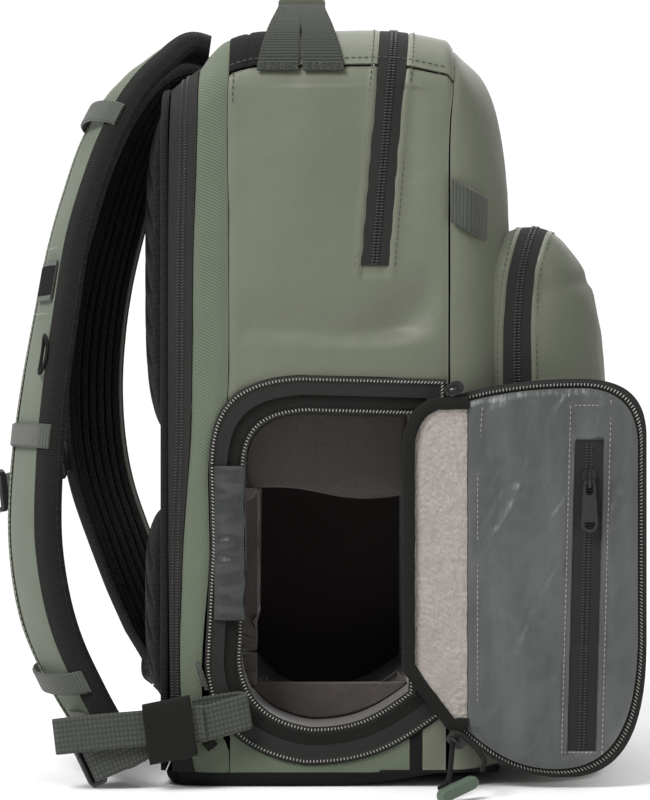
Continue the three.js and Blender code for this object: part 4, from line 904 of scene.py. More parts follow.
# material, weave, colour, share of it, contrast, depth of relief in metres, roughness, sheen
WOVEN = {
    "twill": ("green_twill", twill, "twill", 1.0, 0.42, 0.0002, 0.82, 0.15),
    "webbing": ("webbing", ribs(2.1, 0.95), "webbing", 1.0, 0.42, 0.0004, 0.72, 0.2),
    # The handle uses the same webbing darkened to 0.78 with deeper rib contrast: painted shade.
    "handle": ("handle_webbing_painted_shade", ribs(2.1, 0.95), "webbing", 0.78, 0.6, 0.0006, 0.8, SHEEN),
    "waffle": ("waffle_webbing", waffle, "webbing", 1.0, 0.5, 0.0006, 0.78, 0.2),
    "tape": ("zip_tape", chevron, "tape", 1.0, 0.4, 0.0001, 0.8, 0.02),
    "mesh": ("air_mesh", air_mesh, "mesh", 1.0, 0.75, 0.0006, 0.95, 0.03),
    "knit": ("knit_binding", ribs(1.5, 1.5), "knit", 1.0, 0.5, 0.0004, 0.92, 0.04),
    "black": ("black_cloth", plain(0.9), "black", 1.0, 0.35, 0.0001, 0.85, SHEEN),
    "grosgrain": ("grosgrain", ribs(1.1, 0.8), "grosgrain", 1.0, 0.45, 0.0003, 0.85, 0.03),
}
FINE_PATCHES = {"mesh": 40.0}
# material, colour, roughness, metallic
HARD = {
    "teeth": ("zip_coil", "tape", 0.42, 0.0),
    "bright": ("pale_coil", "teeth", 0.32, 0.0),
    "plastic": ("black_plastic", "plastic", 0.48, 0.0),
    "metal": ("black_metal", "metal", 0.34, 0.7),
    "toggle": ("green_plastic", "toggle", 0.5, 0.0),
}
LOOKS = {}


def make_looks(colours):
    """Makes every material in the colours that the panel holds."""
    LOOKS.clear()
    c = {key: tuple(getattr(colours, key)) for key in COLOURS}
    for key, (name, weave, colour, share, contrast, depth, roughness, sheen) in WOVEN.items():
        patches = FINE_PATCHES.get(key, BROAD_PATCHES)
        base = tint(c[colour], share)
        LOOKS[key] = weave_look(name, base, weave, contrast, depth, patches, roughness=roughness, sheen=sheen)
    for key, (name, colour, roughness, metallic) in HARD.items():
        LOOKS[key] = hard_look(name, c[colour], roughness, metallic)
    LOOKS["coated"] = coated_look("coated_cloth", c["coated"])
    LOOKS["nylon"] = nylon_look("grey_nylon", c["nylon"])
    LOOKS["strip"] = nylon_look("dark_nylon", tint(c["nylon"], 0.3))
    LOOKS["fleece"] = fleece_look("grey_fleece", c["fleece"])
    LOOKS["tricot"] = nap_look("dark_tricot", c["tricot"])
    for key in ("thread", "dark_thread"):
        LOOKS[key] = thread_look(key, c[key])


def dress(obj, look, replaces=(), body=ROOT_BODY):
    """Gives a piece its material, its body and the CAD nodes it stands for."""
    obj.data.materials.clear()
    obj.data.materials.append(LOOKS[look])
    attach(obj, body)
    if replaces:
        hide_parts(*([replaces] if isinstance(replaces, str) else replaces))
    return obj


# Pieces


def join(name, *parts):
    """Several meshes as one object."""
    work = bmesh.new()
    for part in parts:
        work.from_mesh(part.data)
    mesh = bpy.data.meshes.new(name)
    work.to_mesh(mesh)
    work.free()
    for part in parts:
        bpy.data.objects.remove(part)
    obj = bpy.data.objects.new(name, mesh)
    bpy.context.scene.collection.objects.link(obj)
    return obj


def grain(p, scale, seed=0.0):
    """Smooth noise from -1 to 1 over millimetres."""
    return noise.noise(Vector((p[0] / scale + seed, p[1] / scale, p[2] / scale - seed)))


def lift_grid(points, height, hint=None):
    """Moves a grid of points along its normals by height(point, i, j)."""
    n = grid_normals(points, hint)
    out = points.copy()
    for i in range(points.shape[0]):
        for j in range(points.shape[1]):
            out[i, j] += n[i, j] * height(points[i, j], i, j)
    return out


def seam_dip(d, deep=0.8, wide=2.4):
    return -deep * math.exp(-((d / wide) ** 2))


def band_place(seam, z, side):
    return seam_place(seam, z, side) if isinstance(seam, str) else seam(z)


def band_grid(columns, rows, low, high, start, end, inset=0.0, gap=CLEARANCE / 2):
    """A band of the body's skin between two seams, from one place along the arch to another."""

    def surface(u, v):
        s = mix(start, end, u)
        z = arch_point(*body_section(BODY_DEPTH / 2), s, 0)[1]
        side = 1 if s > 0 else -1
        x = mix(band_place(low, z, side) + gap, band_place(high, z, side) - gap, v)
        return body_point(x, s, inset)

    return grid(surface, columns, rows)


def zip_centre(z):
    """Place of the main zip along the bag at a height."""
    share = clamp((z - MAIN_ZIP_END_HEIGHT) / (TOP_SEAM_HEIGHT - MAIN_ZIP_END_HEIGHT), 0, 1.15)
    return mix(MAIN_ZIP_END, MAIN_ZIP_TOP, share)


def zip_reach():
    """How far down each side the main zip runs, as a share of the arch."""
    _, top, bottom, round_, _ = body_section(BODY_DEPTH / 2)
    return 1 - (MAIN_ZIP_END_HEIGHT - bottom) / (top - round_ - bottom) * (1 - ARCH_BEND)


def zip_groove(p):
    """How far the skin sinks beside the main zip, with a raised welt at each edge."""
    if p[2] < MAIN_ZIP_END_HEIGHT - 16:
        return 0.0
    d = abs(p[0] - zip_centre(p[2]))
    half = MAIN_ZIP_WIDTH / 2
    end = smooth(MAIN_ZIP_END_HEIGHT - 9, MAIN_ZIP_END_HEIGHT - 2, p[2])
    inside = 1 - smooth(half - 0.8, half + 0.3, d)
    welt = math.exp(-(((d - half - 2.1) / 1.5) ** 2))
    return (-1.5 * inside + 0.6 * welt) * end


def side_skin(side):
    """The skin of one side panel with its seams, folds and the edge at the zip."""
    door_edge = opening_outline(0.0)
    columns, rows = 84, 118

    def surface(u, v):
        guess = mix(seam_place("side", 250, side), seam_place("front", 250, side), u)
        if side < 0:
            low = edge_height(door_edge, clamp(guess, OPENING[0] + 3, OPENING[1] - 0.4), True)
            first = s_at(BODY_DEPTH / 2, low, side)
        else:
            first = float(side)
        s = mix(first, side * (TOP_SEAM + 0.004), v)
        z = arch_point(*body_section(BODY_DEPTH / 2), s, 0)[1]
        x = mix(seam_place("side", z, side) + 0.15, seam_place("front", z, side) - 0.15, u)
        return body_point(x, s)

    points = grid(surface, columns, rows)

    def height(p, i, j):
        across = min(p[0] - seam_place("side", p[2], side), seam_place("front", p[2], side) - p[0])
        up = (1 - j / rows) * (TOP_SEAM_HEIGHT - 231)
        dip = seam_dip(max(across, 0)) + seam_dip(max(up, 0) * 0.9, 0.9)
        if side < 0:
            dip += seam_dip((j / rows) * 170, 0.7)
        bulge = 0.9 * smooth(2, 26, across) * smooth(2, 26, up)
        return dip + zip_groove(p) + 0.5 * grain(p, 30) + 0.22 * grain(p, 11, 2.0) + bulge - 0.9

    return lift_grid(points, height)


def make_side_near():
    """The near side panel, cut out for the camera opening."""
    obj = shell("side_panel_near_cloth", side_skin(-1), 1.4)
    dress(obj, "coated", "side_panel_near")


def make_side_far():
    """The far side panel, which runs down to the base."""
    obj = shell("side_panel_far_cloth", side_skin(1), 1.4)
    dress(obj, "coated", "side_panel_far")


def make_top():
    """The top panel behind the main zip, the strip in front of it and the black band at the back."""

    def seam_height(low, high):
        def height(p, i, j):
            z = p[2]
            across = min(p[0] - low(z), high(z) - p[0])
            return zip_groove(p) + seam_dip(max(across, 0), 0.7) + 0.4 * grain(p, 24) - 0.3

        return height

    def front(z):
        return seam_place("front", z, -1)

    def zip_back(z):
        return zip_centre(z) - MAIN_ZIP_WIDTH / 2 - 0.15

    def zip_front(z):
        return zip_centre(z) + MAIN_ZIP_WIDTH / 2 + 0.15

    def edge(z):
        return BLACK_BAND_EDGE

    panel = band_grid(110, 26, edge, zip_back, -TOP_SEAM, TOP_SEAM)
    panel = lift_grid(panel, seam_height(edge, zip_back))
    dress(shell("top_panel_cloth", panel, 1.6), "coated", "top_panel")
    strip_front = band_grid(110, 12, zip_front, front, -TOP_SEAM, TOP_SEAM)
    strip_front = lift_grid(strip_front, seam_height(zip_front, front))
    dress(shell("top_front_cloth", strip_front, 1.6), "coated", "top_panel_front")
    black = band_grid(110, 14, "side", edge, -TOP_SEAM, TOP_SEAM)

    def crease(p, i, j):
        middle = (seam_place("side", p[2], -1) + BLACK_BAND_EDGE) / 2
        return -0.9 * math.exp(-(((p[0] - middle) / 1.1) ** 2)) + 0.3 * grain(p, 12) - 0.2

    dress(shell("top_band_cloth", lift_grid(black, crease), 1.6), "black", "top_black_band")


def make_gusset():
    """The twill band between the back panel and the side panels."""
    door_edge = opening_outline(-CLEARANCE)
    columns, rows = 230, 10

    def surface(u, v):
        s = mix(-1, 1, u)
        z = arch_point(*body_section(BODY_DEPTH / 2), s, 0)[1]
        side = 1 if s > 0 else -1
        high = seam_place("side", z, side) - 0.15
        if side < 0:
            high = max(high, mix(LOWER_BAND_START - 0.4, high, smooth(OPENING[2] + 4, OPENING[2] + 34, z)))
        if side < 0 and OPENING[2] < z < OPENING[3]:
            high = min(high, edge_place(door_edge, z) - 0.1)
        x = mix(seam_place("gusset", z, side) + 0.15, high, v)
        return body_point(x, s)

    def height(p, i, j):
        across = min(j, rows - j) / rows * 16
        return seam_dip(across, 0.7) + 0.45 * grain(p, 22) + 0.2 * grain(p, 8, 5.0) - 0.3

    obj = shell("back_gusset_cloth", lift_grid(grid(surface, columns, rows), height), 1.6)
    dress(obj, "twill", "back_gusset")


def make_lower_band():
    """The band under the camera opening: twill, a black wedge and the coated corner."""
    door_edge = opening_outline(-0.1)
    for name, look, start, end in LOWER_BAND_ROWS:

        def surface(u, v):
            x = mix(start, end, u)
            z = mix(BASE_HEIGHT + 0.4, edge_height(door_edge, clamp(x, 24, 156.7), False), v)
            return body_point(x, s_at(BODY_DEPTH / 2, z))

        def height(p, i, j):
            return seam_dip((8 - j) * 2.0, 0.4) + 0.4 * grain(p, 20) - 0.2

        points = lift_grid(grid(surface, 70 if look == "twill" else 10, 8), height)
        dress(shell(name, points, 1.5), look, "lower_band_near")


def cap_grid(arch, columns, rows, height=None):
    """Closes the end of an arched form: its last arch drawn in to the middle."""
    edge = [arch(i / columns) for i in range(columns + 1)]
    corner = min(range(columns // 2), key=lambda i: abs(abs(mix(-1, 1, i / columns)) - ARCH_BEND))
    top = edge[corner][2]

    def surface(u, v):
        p = edge[round(u * columns)]
        z = mix(p[2], min(p[2], top), v)
        bulge = height * (1 - (1 - v) ** 2) if height else 0
        return Vector((p[0] + bulge, p[1] * (1 - v), z))

    return grid(surface, columns, rows)


def make_front():
    """The front panel and its seam."""

    def arch(k):
        def at(u):
            s = mix(-1, 1, u)
            z = arch_point(*body_section(BODY_DEPTH), s, 0)[1]
            seam = seam_place("front", z, -1) + FRONT_SEAM_GAP
            return body_point(mix(seam, BODY_DEPTH + FRONT_BULGE, k), s)

        return at

    columns = 150
    skin = grid(lambda u, v: arch(v)(u), columns, 34)
    cap = cap_grid(arch(1.0), columns, 10, 1.2)
    points = np.concatenate([skin, cap[:, 1:]], axis=1)

    def height(p, i, j):
        near = j / 34 * 42
        shade = seam_dip(near, 0.9, 2.6) + 0.8 * grain(p, 40, 1.0) + 0.3 * grain(p, 14)
        return shade * (1 if j < 40 else 0.3) - 0.5

    obj = shell("front_panel_cloth", lift_grid(points, height), 1.6)
    dress(obj, "coated", "front_panel")


def pocket_zip_centre(s):
    over = smooth(0, 0.3, ARCH_BEND + 0.08 - abs(s))
    return (POCKET_ZIP_PLACE - POCKET_START + 14 * over) / POCKET_DEPTH


def make_front_pocket():
    """The front pocket, lofted from the pocket rows and closed at its face."""
    columns, rows = 170, 54
    shares = [mix(-0.65, 1.0, i / rows) for i in range(rows + 1)]
    skin = grid(lambda u, v: pocket_point(shares[round(v * rows)], mix(-1, 1, u)), columns, rows)
    cap = cap_grid(lambda u: pocket_point(1.0, mix(-1, 1, u)), columns, 16, 0.6)
    half_zip = POCKET_ZIP_WIDTH / 2

    def height(p, i, j):
        s = mix(-1, 1, i / columns)
        share = shares[min(j, rows)]
        d = abs(share - pocket_zip_centre(s)) * POCKET_DEPTH
        on_zip = abs(s) < 0.93 and j <= rows
        groove = -1.3 * (1 - smooth(half_zip - 0.6, half_zip + 0.4, d)) if on_zip else 0
        welt = 0.7 * math.exp(-(((d - half_zip - 2.2) / 1.6) ** 2)) if on_zip else 0
        crease = -1.6 * math.exp(-(((p[2] - 281 - 0.2 * (p[0] - 215)) / 4) ** 2)) * smooth(200, 214, p[0])
        puff = 1.0 * grain(p, 38, 4.0) + 0.35 * grain(p, 13)
        return groove + welt + crease + puff * smooth(0, 12, d) - 0.6

    def cap_height(p, i, j):
        return (0.8 * grain(p, 40, 4.0) - 0.6) if j else -0.6

    points = lift_grid(skin, height)
    face = lift_grid(cap, cap_height, np.array([1.0, 0.0, 0.0]))
    points = np.concatenate([points, face[:, 1:]], axis=1)

    def foot(u, v):
        share = shares[round(u * rows)]
        return mix(pocket_point(share, -1), pocket_point(share, 1), v)

    feet = grid(foot, rows, 12)
    walls = shell("pocket_walls", points, 1.6)
    base = shell("pocket_base", feet, 1.2, hint=np.array([0.0, 0.0, -1.0]))
    dress(join("front_pocket_cloth", walls, base), "coated", "front_pocket")


def base_shares():
    """Places along the body's depth, close together where its front bends."""
    return [i / 30 for i in range(31)] + [1.05, 1.1, 1.15, 1.25, 1.35, 1.45, 1.57, 1.7, 1.82, 1.9, 1.95, 2]


def make_base():
    """The rubbed bottom panel, with a rim that rises towards the front."""
    levels = [(0.0, BASE_HEIGHT + 0.2), (0.0, 6.4), (0.6, 4.6)]
    levels += [(BASE_ROUND * 0.35, 2.4), (4.4, 0.7), (BASE_ROUND, 0.0)]
    shares = base_shares()
    last = BODY_DEPTH + FRONT_BULGE * 0.95
    columns = [(0.0, k, lv) for k, lv in enumerate(levels)]
    body = [(share, len(levels) - 1, None) for share in shares[1:-1]]
    tail = [(2.0, len(levels) - 1 - k, lv) for k, lv in enumerate(levels[::-1])]
    rows = []
    for share, k, level in columns + body + tail:
        half = between(BODY_ROWS, share, 1) * SIDE_PLANE
        x = share * BODY_DEPTH if share <= 1 else BODY_DEPTH + (share - 1) * FRONT_BULGE
        inset = level[0] if level else BASE_ROUND
        x = clamp(x, inset, last - inset) if level else clamp(x, BASE_ROUND, last - BASE_ROUND)
        floor = level[1] if level else 0.0
        row = []
        for side in (-1, 1):
            profile = [(side * (half - i), max(z, floor)) for i, z in levels]
            inner = [(side * (half - BASE_ROUND) * t, floor) for t in (0.75, 0.5, 0.25)]
            part = profile + inner
            row.append(part if side < 0 else part[::-1])
        line = row[0] + [(0.0, floor)] + row[1]
        rows.append([(x, y, z) for y, z in line])
    points = np.array(rows)

    def height(p, i, j):
        return (0.7 * grain(p, 26) - 0.2) if 1.2 < p[2] < 7 else 0.0

    points = lift_grid(points, height, np.array([0.0, 0.0, -1.0]))
    rise = 8 * np.clip((points[:, :, 0] - 95) / 60, 0, 1) ** 1.6
    rise *= np.clip((np.abs(points[:, :, 1]) / SIDE_PLANE - 0.45) / 0.5, 0, 1) ** 1.5
    points[:, :, 2] = np.clip(points[:, :, 2] + rise, 0.0, BASE_HEIGHT + 0.2)
    obj = shell("base_cloth", points, 1.6, hint=np.array([0.0, 0.0, -1.0]))
    dress(obj, "black", "base_panel")


def back_half(z):
    high = 0.92 * BAG_HEIGHT - 2
    half = 0.945 * SIDE_PLANE - 2
    round_ = SHOULDER_ROUND * 0.8
    if z <= high - round_:
        return half
    return half - round_ + math.sqrt(max(0.0, round_ * round_ - (z - high + round_) ** 2))


def make_back():
    """The back panel and its two quilted pads."""
    low, high = BASE_HEIGHT + 0.3, 0.92 * BAG_HEIGHT - 2

    def surface(u, v):
        z = mix(low, high - 0.2, v)
        return Vector((-3.3, mix(-1, 1, u) * back_half(z), z))

    panel = shell("back_panel_cloth", grid(surface, 60, 90), 2.6, hint=np.array([-1.0, 0.0, 0.0]))
    dress(panel, "mesh", "back_panel")
    for name, low, high in BACK_PAD_ROWS:
        columns, rows = 110, int((high - low) / 1.4)

        def edge(t):
            return math.sqrt(max(0.02, 1 - abs(2 * t - 1) ** 3.4))

        def pad(u, v):
            u, v = 0.5 - 0.5 * math.cos(math.pi * u), 0.5 - 0.5 * math.cos(math.pi * v)
            narrow = 1 - 0.1 * abs(2 * v - 1) ** 6
            y, z = mix(-BACK_PAD_HALF, BACK_PAD_HALF, u) * narrow, mix(low, high, v)
            inside = edge(u) * edge(v)
            line = abs(((z + abs(y) * 0.62 - low) / 21) % 1 - 0.5) * 21
            gully = 3.4 * math.exp(-((line / 2.3) ** 2)) * smooth(0.25, 0.8, inside)
            middle = 2.6 * math.exp(-((y / 4) ** 2)) * smooth(0.25, 0.8, inside)
            return Vector((-3.6 - 14 * inside - 0.6 + gully + middle, y, z))

        obj = shell(f"back_pad_{name}_cloth", grid(pad, columns, rows), 1.8, hint=np.array([-1.0, 0.0, 0.0]))
        dress(obj, "mesh", f"back_pad_{name}")
    route = [body_point(0.3, mix(-0.985, 0.985, i / 160), 1.2) - Vector((1.6, 0, 0)) for i in range(161)]
    dress(tube("back_piping", route, 2.2, 10), "knit")


def band_line(seam, offset, start, end, count, lift=0.0):
    """A line on the body's skin beside a seam or a place."""
    out = []
    for i in range(count + 1):
        s = mix(start, end, i / count)
        z = arch_point(*body_section(BODY_DEPTH / 2), s, 0)[1]
        side = 1 if s > 0 else -1
        out.append(body_point(band_place(seam, z, side) + offset, s, -lift))
    return out


def make_body_zips():
    """The tapes and coils of the laptop zip and the main zip."""

    def ripple(p, i, j):
        return 0.12 * grain(p, 6) - 0.1

    laptop = band_grid(230, 8, "zip", "gusset", -1, 1)
    dress(shell("laptop_zip_tape", lift_grid(laptop, ripple), 1.2), "tape", "laptop_zip_band")
    reach = zip_reach()
    half = MAIN_ZIP_WIDTH / 2

    def back(z):
        return zip_centre(z) - half

    def front(z):
        return zip_centre(z) + half

    main = band_grid(200, 8, back, front, -reach, reach, 0.5, 0)
    dress(shell("main_zip_tape", main, 1.2), "tape", "main_zip_band")
    coil = Bits()

    def laptop_mid(z):
        side = -1
        return (seam_place("zip", z, side) + seam_place("gusset", z, side)) / 2

    for offset in (-1.5, 1.5):
        a = band_line(laptop_mid, offset - 0.9, -0.99, 0.99, 320, 0.1)
        b = band_line(laptop_mid, offset + 0.9, -0.99, 0.99, 320, 0.1)
        coil.teeth(a, b, 1.7, 0.55)
    for offset in (-1.15, 1.15):
        a = band_line(zip_centre, offset - 1.1, -reach, reach, 260, -0.2)
        b = band_line(zip_centre, offset + 1.1, -reach, reach, 260, -0.2)
        coil.teeth(a, b, 1.7, 0.55)
    dress(coil.build("zip_coils"), "teeth")


def ring_grid(outline, outer, inner, rows, y, closed=True, profile=None):
    """Points of a band between two insets of an outline, at a depth in Y."""
    a, b = outline(outer), outline(inner)
    if closed:
        a, b = a + a[:1], b + b[:1]

    def surface(i, v):
        deep = profile(v) if profile else 0.0
        return (mix(a[i][0], b[i][0], v), y + deep, mix(a[i][1], b[i][1], v))

    return np.array([[surface(i, j / rows) for j in range(rows + 1)] for i in range(len(a))])


def fine_opening(inset):
    """The opening outline in fine steps."""
    return opening_outline(inset, 26)


def fine_door(inset):
    """The door outline in fine steps."""
    return door_outline(inset, 26)


def ring_line(outline, inset, y, closed=True):
    """One line round an outline at an inset and a depth."""
    line = [Vector((x, y, z)) for x, z in outline(inset)]
    return line + line[:1] if closed else line


def fill_grid(outline, columns, rows, y, low=-1e9, high=1e9, span=None):
    """Points that fill an outline between its upper and lower edges."""
    xs = [p[0] for p in outline]
    x0, x1 = (min(xs), max(xs)) if span is None else span

    def surface(u, v):
        x = mix(x0 + 0.05, x1 - 0.05, 0.5 - 0.5 * math.cos(math.pi * u))
        a = max(low, edge_height(outline, x, False))
        b = min(high, edge_height(outline, x, True))
        return (x, y, mix(a, b, 0.5 - 0.5 * math.cos(math.pi * v)))

    return grid(surface, columns, rows)


TOWARDS_CAMERA = np.array([0.0, -1.0, 0.0])


def make_opening():
    """The zip round the camera opening, its lining and the zip of the padded cube."""

    def fold(v):
        return -1.1 * math.sin(math.pi * clamp(v / 0.32)) + 0.3

    tape = ring_grid(fine_opening, CLEARANCE, OPENING_ZIP_WIDTH, 14, OPENING_FACE, True, fold)
    obj = shell("opening_zip_tape", tape, 1.2, hint=TOWARDS_CAMERA, ring=True)
    dress(obj, "tape", "opening_zip_band")
    teeth = Bits()
    a = ring_line(fine_opening, 1.5, OPENING_FACE - 0.8)
    b = ring_line(fine_opening, 3.0, OPENING_FACE - 0.9)
    teeth.teeth(a, b, TOOTH_PITCH, TOOTH_THICK)
    dress(teeth.build("opening_teeth"), "bright")

    def waves(v):
        return 0.5 * math.sin(v * 9)

    lining = ring_grid(fine_opening, 1, 17, 8, LINING_FACE, True, waves)
    obj = shell("opening_lining_cloth", lining, 1.0, hint=TOWARDS_CAMERA, ring=True)
    dress(obj, "grosgrain", "opening_lining")
    y = LINING_FACE + 1.5
    cube = ring_grid(fine_opening, CUBE_INSET, CUBE_INSET + 8, 8, y)
    obj = shell("cube_zip_tape", cube, 1.2, hint=TOWARDS_CAMERA, ring=True)
    dress(obj, "tape", "cube_zip_band")
    teeth = Bits()
    a = ring_line(fine_opening, CUBE_INSET + 5.6, y - 0.4)
    b = ring_line(fine_opening, CUBE_INSET + 7.2, y - 0.2)
    teeth.teeth(a, b, TOOTH_PITCH, TOOTH_THICK)
    dress(teeth.build("cube_teeth"), "bright")


def make_lining_strip():
    """The grey strip that runs down the back edge of the opening, over its lining."""

    back, front, low, high = LINING_STRIP

    def surface(u, v):
        z = mix(low, high, v)
        x = mix(back, front, u)
        wave = 2.2 * noise.noise(Vector((x / 24, 1.0, z / 8.5)))
        wave += 0.7 * noise.noise(Vector((x / 12, 4.0, z / 4)))
        edge = 1.2 * noise.noise(Vector((3.0, 0.0, z / 11)))
        return Vector((x + edge * u, OPENING_FACE - 1.0 - 0.9 * math.sin(math.pi * u) * (1 + wave), z))

    obj = shell("lining_strip", grid(surface, 20, 110), 0.6, hint=TOWARDS_CAMERA)
    dress(obj, "strip")


def make_cube():
    """The padded cube with its back wall and two dividers."""
    inset = CUBE_INSET + CUBE_WALL
    ring = fine_opening(inset)
    ring = ring + ring[:1]
    steps = 26
    deep = CUBE_DEPTH - CUBE_WALL

    def surface(i, j):
        t = j / steps
        y = CUBE_FACE + deep * t
        x, z = ring[i]
        return (x, y, z)

    wall = np.array([[surface(i, j) for j in range(steps + 1)] for i in range(len(ring))])
    middle = np.array([90.0, 0.0, 120.0])
    hint = middle - wall
    hint[..., 1] = 0
    tube_wall = shell("cube_wall", wall, CUBE_WALL - 0.3, hint=hint, ring=True)
    floor = fill_grid(opening_outline(inset - 1), 30, 40, CUBE_FACE + deep)
    back = shell("cube_back", floor, CUBE_WALL - 1, hint=TOWARDS_CAMERA)
    obj = join("cube_liner_cloth", tube_wall, back)
    dress(obj, "tricot", "cube_liner")
    edge = opening_outline(CUBE_INSET + CUBE_WALL + CLEARANCE + 0.2, 20)
    face = CUBE_FACE + DIVIDER_DEPTH
    columns, rows = 60, 44
    for name, low, high in DIVIDER_ROWS:
        points = fill_grid(edge, columns, rows, face, low, high)
        if name == "upper":
            across = (points[:, :, 0] - 92) / 60
            drop = 8 * across**2 - 9 + 7 * np.exp(-((points[:, :, 0] - 70) / 30) ** 2)
            points[:, :, 2] += drop * (1 - np.linspace(0, 1, points.shape[1])[None, :]) ** 2

        def height(p, i, j):
            rim = min(i / columns, 1 - i / columns, j / rows, 1 - j / rows) * 40
            return -3.4 * math.exp(-((rim / 3.2) ** 2)) + 1.2 * grain(p, 32) + 0.4 * grain(p, 9)

        points = lift_grid(points, height, TOWARDS_CAMERA)
        obj = shell(f"divider_{name}_cloth", points, DIVIDER_THICK, hint=TOWARDS_CAMERA)
        dress(obj, "tricot", f"divider_{name}")


def tape_centre(z):
    """Place of the pocket zip at a height."""
    return TAPE_CENTRE + TAPE_SLANT * ((z - TAPE_LOW) / (TAPE_HIGH - TAPE_LOW) - 0.5)


def door_wrinkle(x, z):
    """Relief of the door's lining: long slanting creases that run off the stitched edges."""
    across, along = 0.9 * x - 0.44 * z, 0.44 * x + 0.9 * z
    long = noise.noise(Vector((across / 17, 0.0, along / 62)))
    ridge = math.exp(-((6.0 * noise.noise(Vector((across / 21, 2.0, along / 74)))) ** 2))
    fine = noise.noise(Vector((across / 6.5, 4.0, along / 28)))
    return 2.3 * long + 1.4 * ridge + 0.8 * fine + 0.3 * grain((x, 0, z), 7)


def make_door():
    """The open door: panel, zip, lining and the zip of its inner pocket."""
    outer = door_outline(DOOR_ZIP_WIDTH, 20)
    back_face = fill_grid(outer, 50, 70, DOOR_FACE + 5.3)
    panel = shell("door_panel_cloth", back_face, 4.8, hint=np.array([0.0, 1.0, 0.0]))
    dress(panel, "coated", "door_panel")

    def fold(v):
        return -0.9 * math.sin(math.pi * clamp((v - 0.1) / 0.7)) + 0.2

    y = DOOR_FACE + 1.4
    tape = ring_grid(fine_door, 0.2, DOOR_ZIP_WIDTH, 12, y, False, fold)
    dress(shell("door_zip_tape", tape, 1.3, hint=TOWARDS_CAMERA), "tape", "door_zip_band")
    teeth = Bits()
    a, b = ring_line(fine_door, 2.6, y - 1.1, False), ring_line(fine_door, 4.3, y - 0.9, False)
    teeth.teeth(a, b, TOOTH_PITCH, TOOTH_THICK)
    dress(teeth.build("door_teeth"), "bright")

    edge = door_outline(DOOR_ZIP_WIDTH * 0.72, 20)
    half = TAPE_WIDTH / 2
    span = (HINGE_PAD[1] + CLEARANCE, DOOR[1] - DOOR_ZIP_WIDTH * 0.72)

    def surface(u, v):
        x = mix(span[0], span[1] - 0.1, u)
        low, high = edge_height(edge, x, False), edge_height(edge, x, True)
        z = mix(low, high, v)
        d = abs(x - tape_centre(z))
        zip_on = smooth(TAPE_LOW - 3, TAPE_LOW, z) * (1 - smooth(TAPE_HIGH - 19, TAPE_HIGH - 17, z))
        rim = min(x - span[0] + 2, span[1] - x, z - low, high - z)
        soft = smooth(0, 9, rim) * (smooth(half - 1, half + 7, d) if zip_on else 1)
        dip = (1 - smooth(half - 0.6, half + 0.5, d)) * zip_on
        welt = 0.5 * math.exp(-(((d - half - 3.2) / 1.3) ** 2)) * zip_on
        stand = 3.0 + door_wrinkle(x, z) * soft - 1.2 * (1 - smooth(0, 4, rim)) - 1.9 * dip - welt
        return (x, LINING_BACK - stand, z)

    points = grid(surface, 130, 220)
    obj = shell("door_lining_cloth", points, 0.9, hint=TOWARDS_CAMERA)
    dress(obj, "nylon", "door_lining")

    face = LINING_BACK - 2.0

    def tape_surface(u, v):
        z = mix(TAPE_LOW, TAPE_HIGH, u)
        return (tape_centre(z) + mix(-half, half, v), face, z)

    tape = shell("pocket_zip_tape_cloth", grid(tape_surface, 90, 8), 1.2, hint=TOWARDS_CAMERA)
    dress(tape, "tape", "pocket_zip_tape")
    coil = Bits()
    for offset in (-1.3, 1.3):
        heights = np.linspace(TAPE_LOW, TAPE_HIGH - 20, 60)
        left = [Vector((tape_centre(z) + offset - 1.0, face - 0.2, z)) for z in heights]
        right = [p + Vector((2.0, 0, 0)) for p in left]
        coil.teeth(left, right, 1.6, 0.45)
    dress(coil.build("pocket_coil"), "teeth")


def hinge_outline(grow, count=20):
    """Outline of the hinge pad, grown by a margin."""
    x0, x1, z0, z1 = HINGE_PAD[0] - grow, HINGE_PAD[1], HINGE_PAD[2] - grow, HINGE_PAD[3] + grow
    out = [(x1, z0), (x1 - 9, z0), (x0, z0 + 31), (x0, z1 - 22)]
    out += bezier([out[-1], (x0 + 2, z1 - 2), (x0 + 17, z1)], count)
    return out + [(x1, z1)]


def resample(line, count):
    """A line as evenly spaced points."""
    path = np.array([p[:] for p in line])
    run = np.concatenate([[0], np.cumsum(np.linalg.norm(np.diff(path, axis=0), axis=1))])
    spots = np.linspace(0, run[-1], count + 1)
    return [Vector([np.interp(t, run, path[:, k]) for k in range(path.shape[1])]) for t in spots]


def make_hinge():
    """The fleece pad at the door hinge and the binding round it."""
    outline = hinge_outline(0.6)
    y = LINING_BACK - 2.6
    points = fill_grid(outline, 46, 260, y)

    def height(p, i, j):
        loops = 0.5 * grain(p, 1.6) + 0.4 * grain(p, 3.4, 7.0)
        rim = min(p[0] - HINGE_PAD[0], HINGE_PAD[1] + 3 - p[0])
        return loops + 0.8 * grain(p, 16) - 1.2 * math.exp(-((max(rim, 0) / 3) ** 2))

    points = lift_grid(points, height, TOWARDS_CAMERA)
    pad = shell("hinge_face", points, 2.4, hint=TOWARDS_CAMERA)
    foot = OPENING_FACE - CLEARANCE
    strip_back = fill_grid(hinge_outline(-3), 10, 60, foot, span=(HINGE_PAD[0] + 3.2, DOOR[0] - 0.4))
    block = shell("hinge_back", strip_back, foot - y - 1.0, hint=np.array([0.0, 1.0, 0.0]))
    obj = join("hinge_pad_cloth", pad, block)
    dress(obj, "fleece", "hinge_pad")

    line = hinge_outline(BINDING_WIDTH / 2 + 0.2)
    path = resample([Vector((x, LINING_BACK - 2.4, z)) for x, z in line], 150)
    uneven = []
    for p in path:
        shift = Vector((0.35 * grain(p, 9), 0.5 * grain(p, 14, 2.0) - 0.3, 0.35 * grain(p, 8, 9.0)))
        uneven.append(p + shift)
    obj = ribbon("hinge_binding_cloth", uneven, BINDING_WIDTH / 2, 2.5)
    dress(obj, "grosgrain", "hinge_binding")


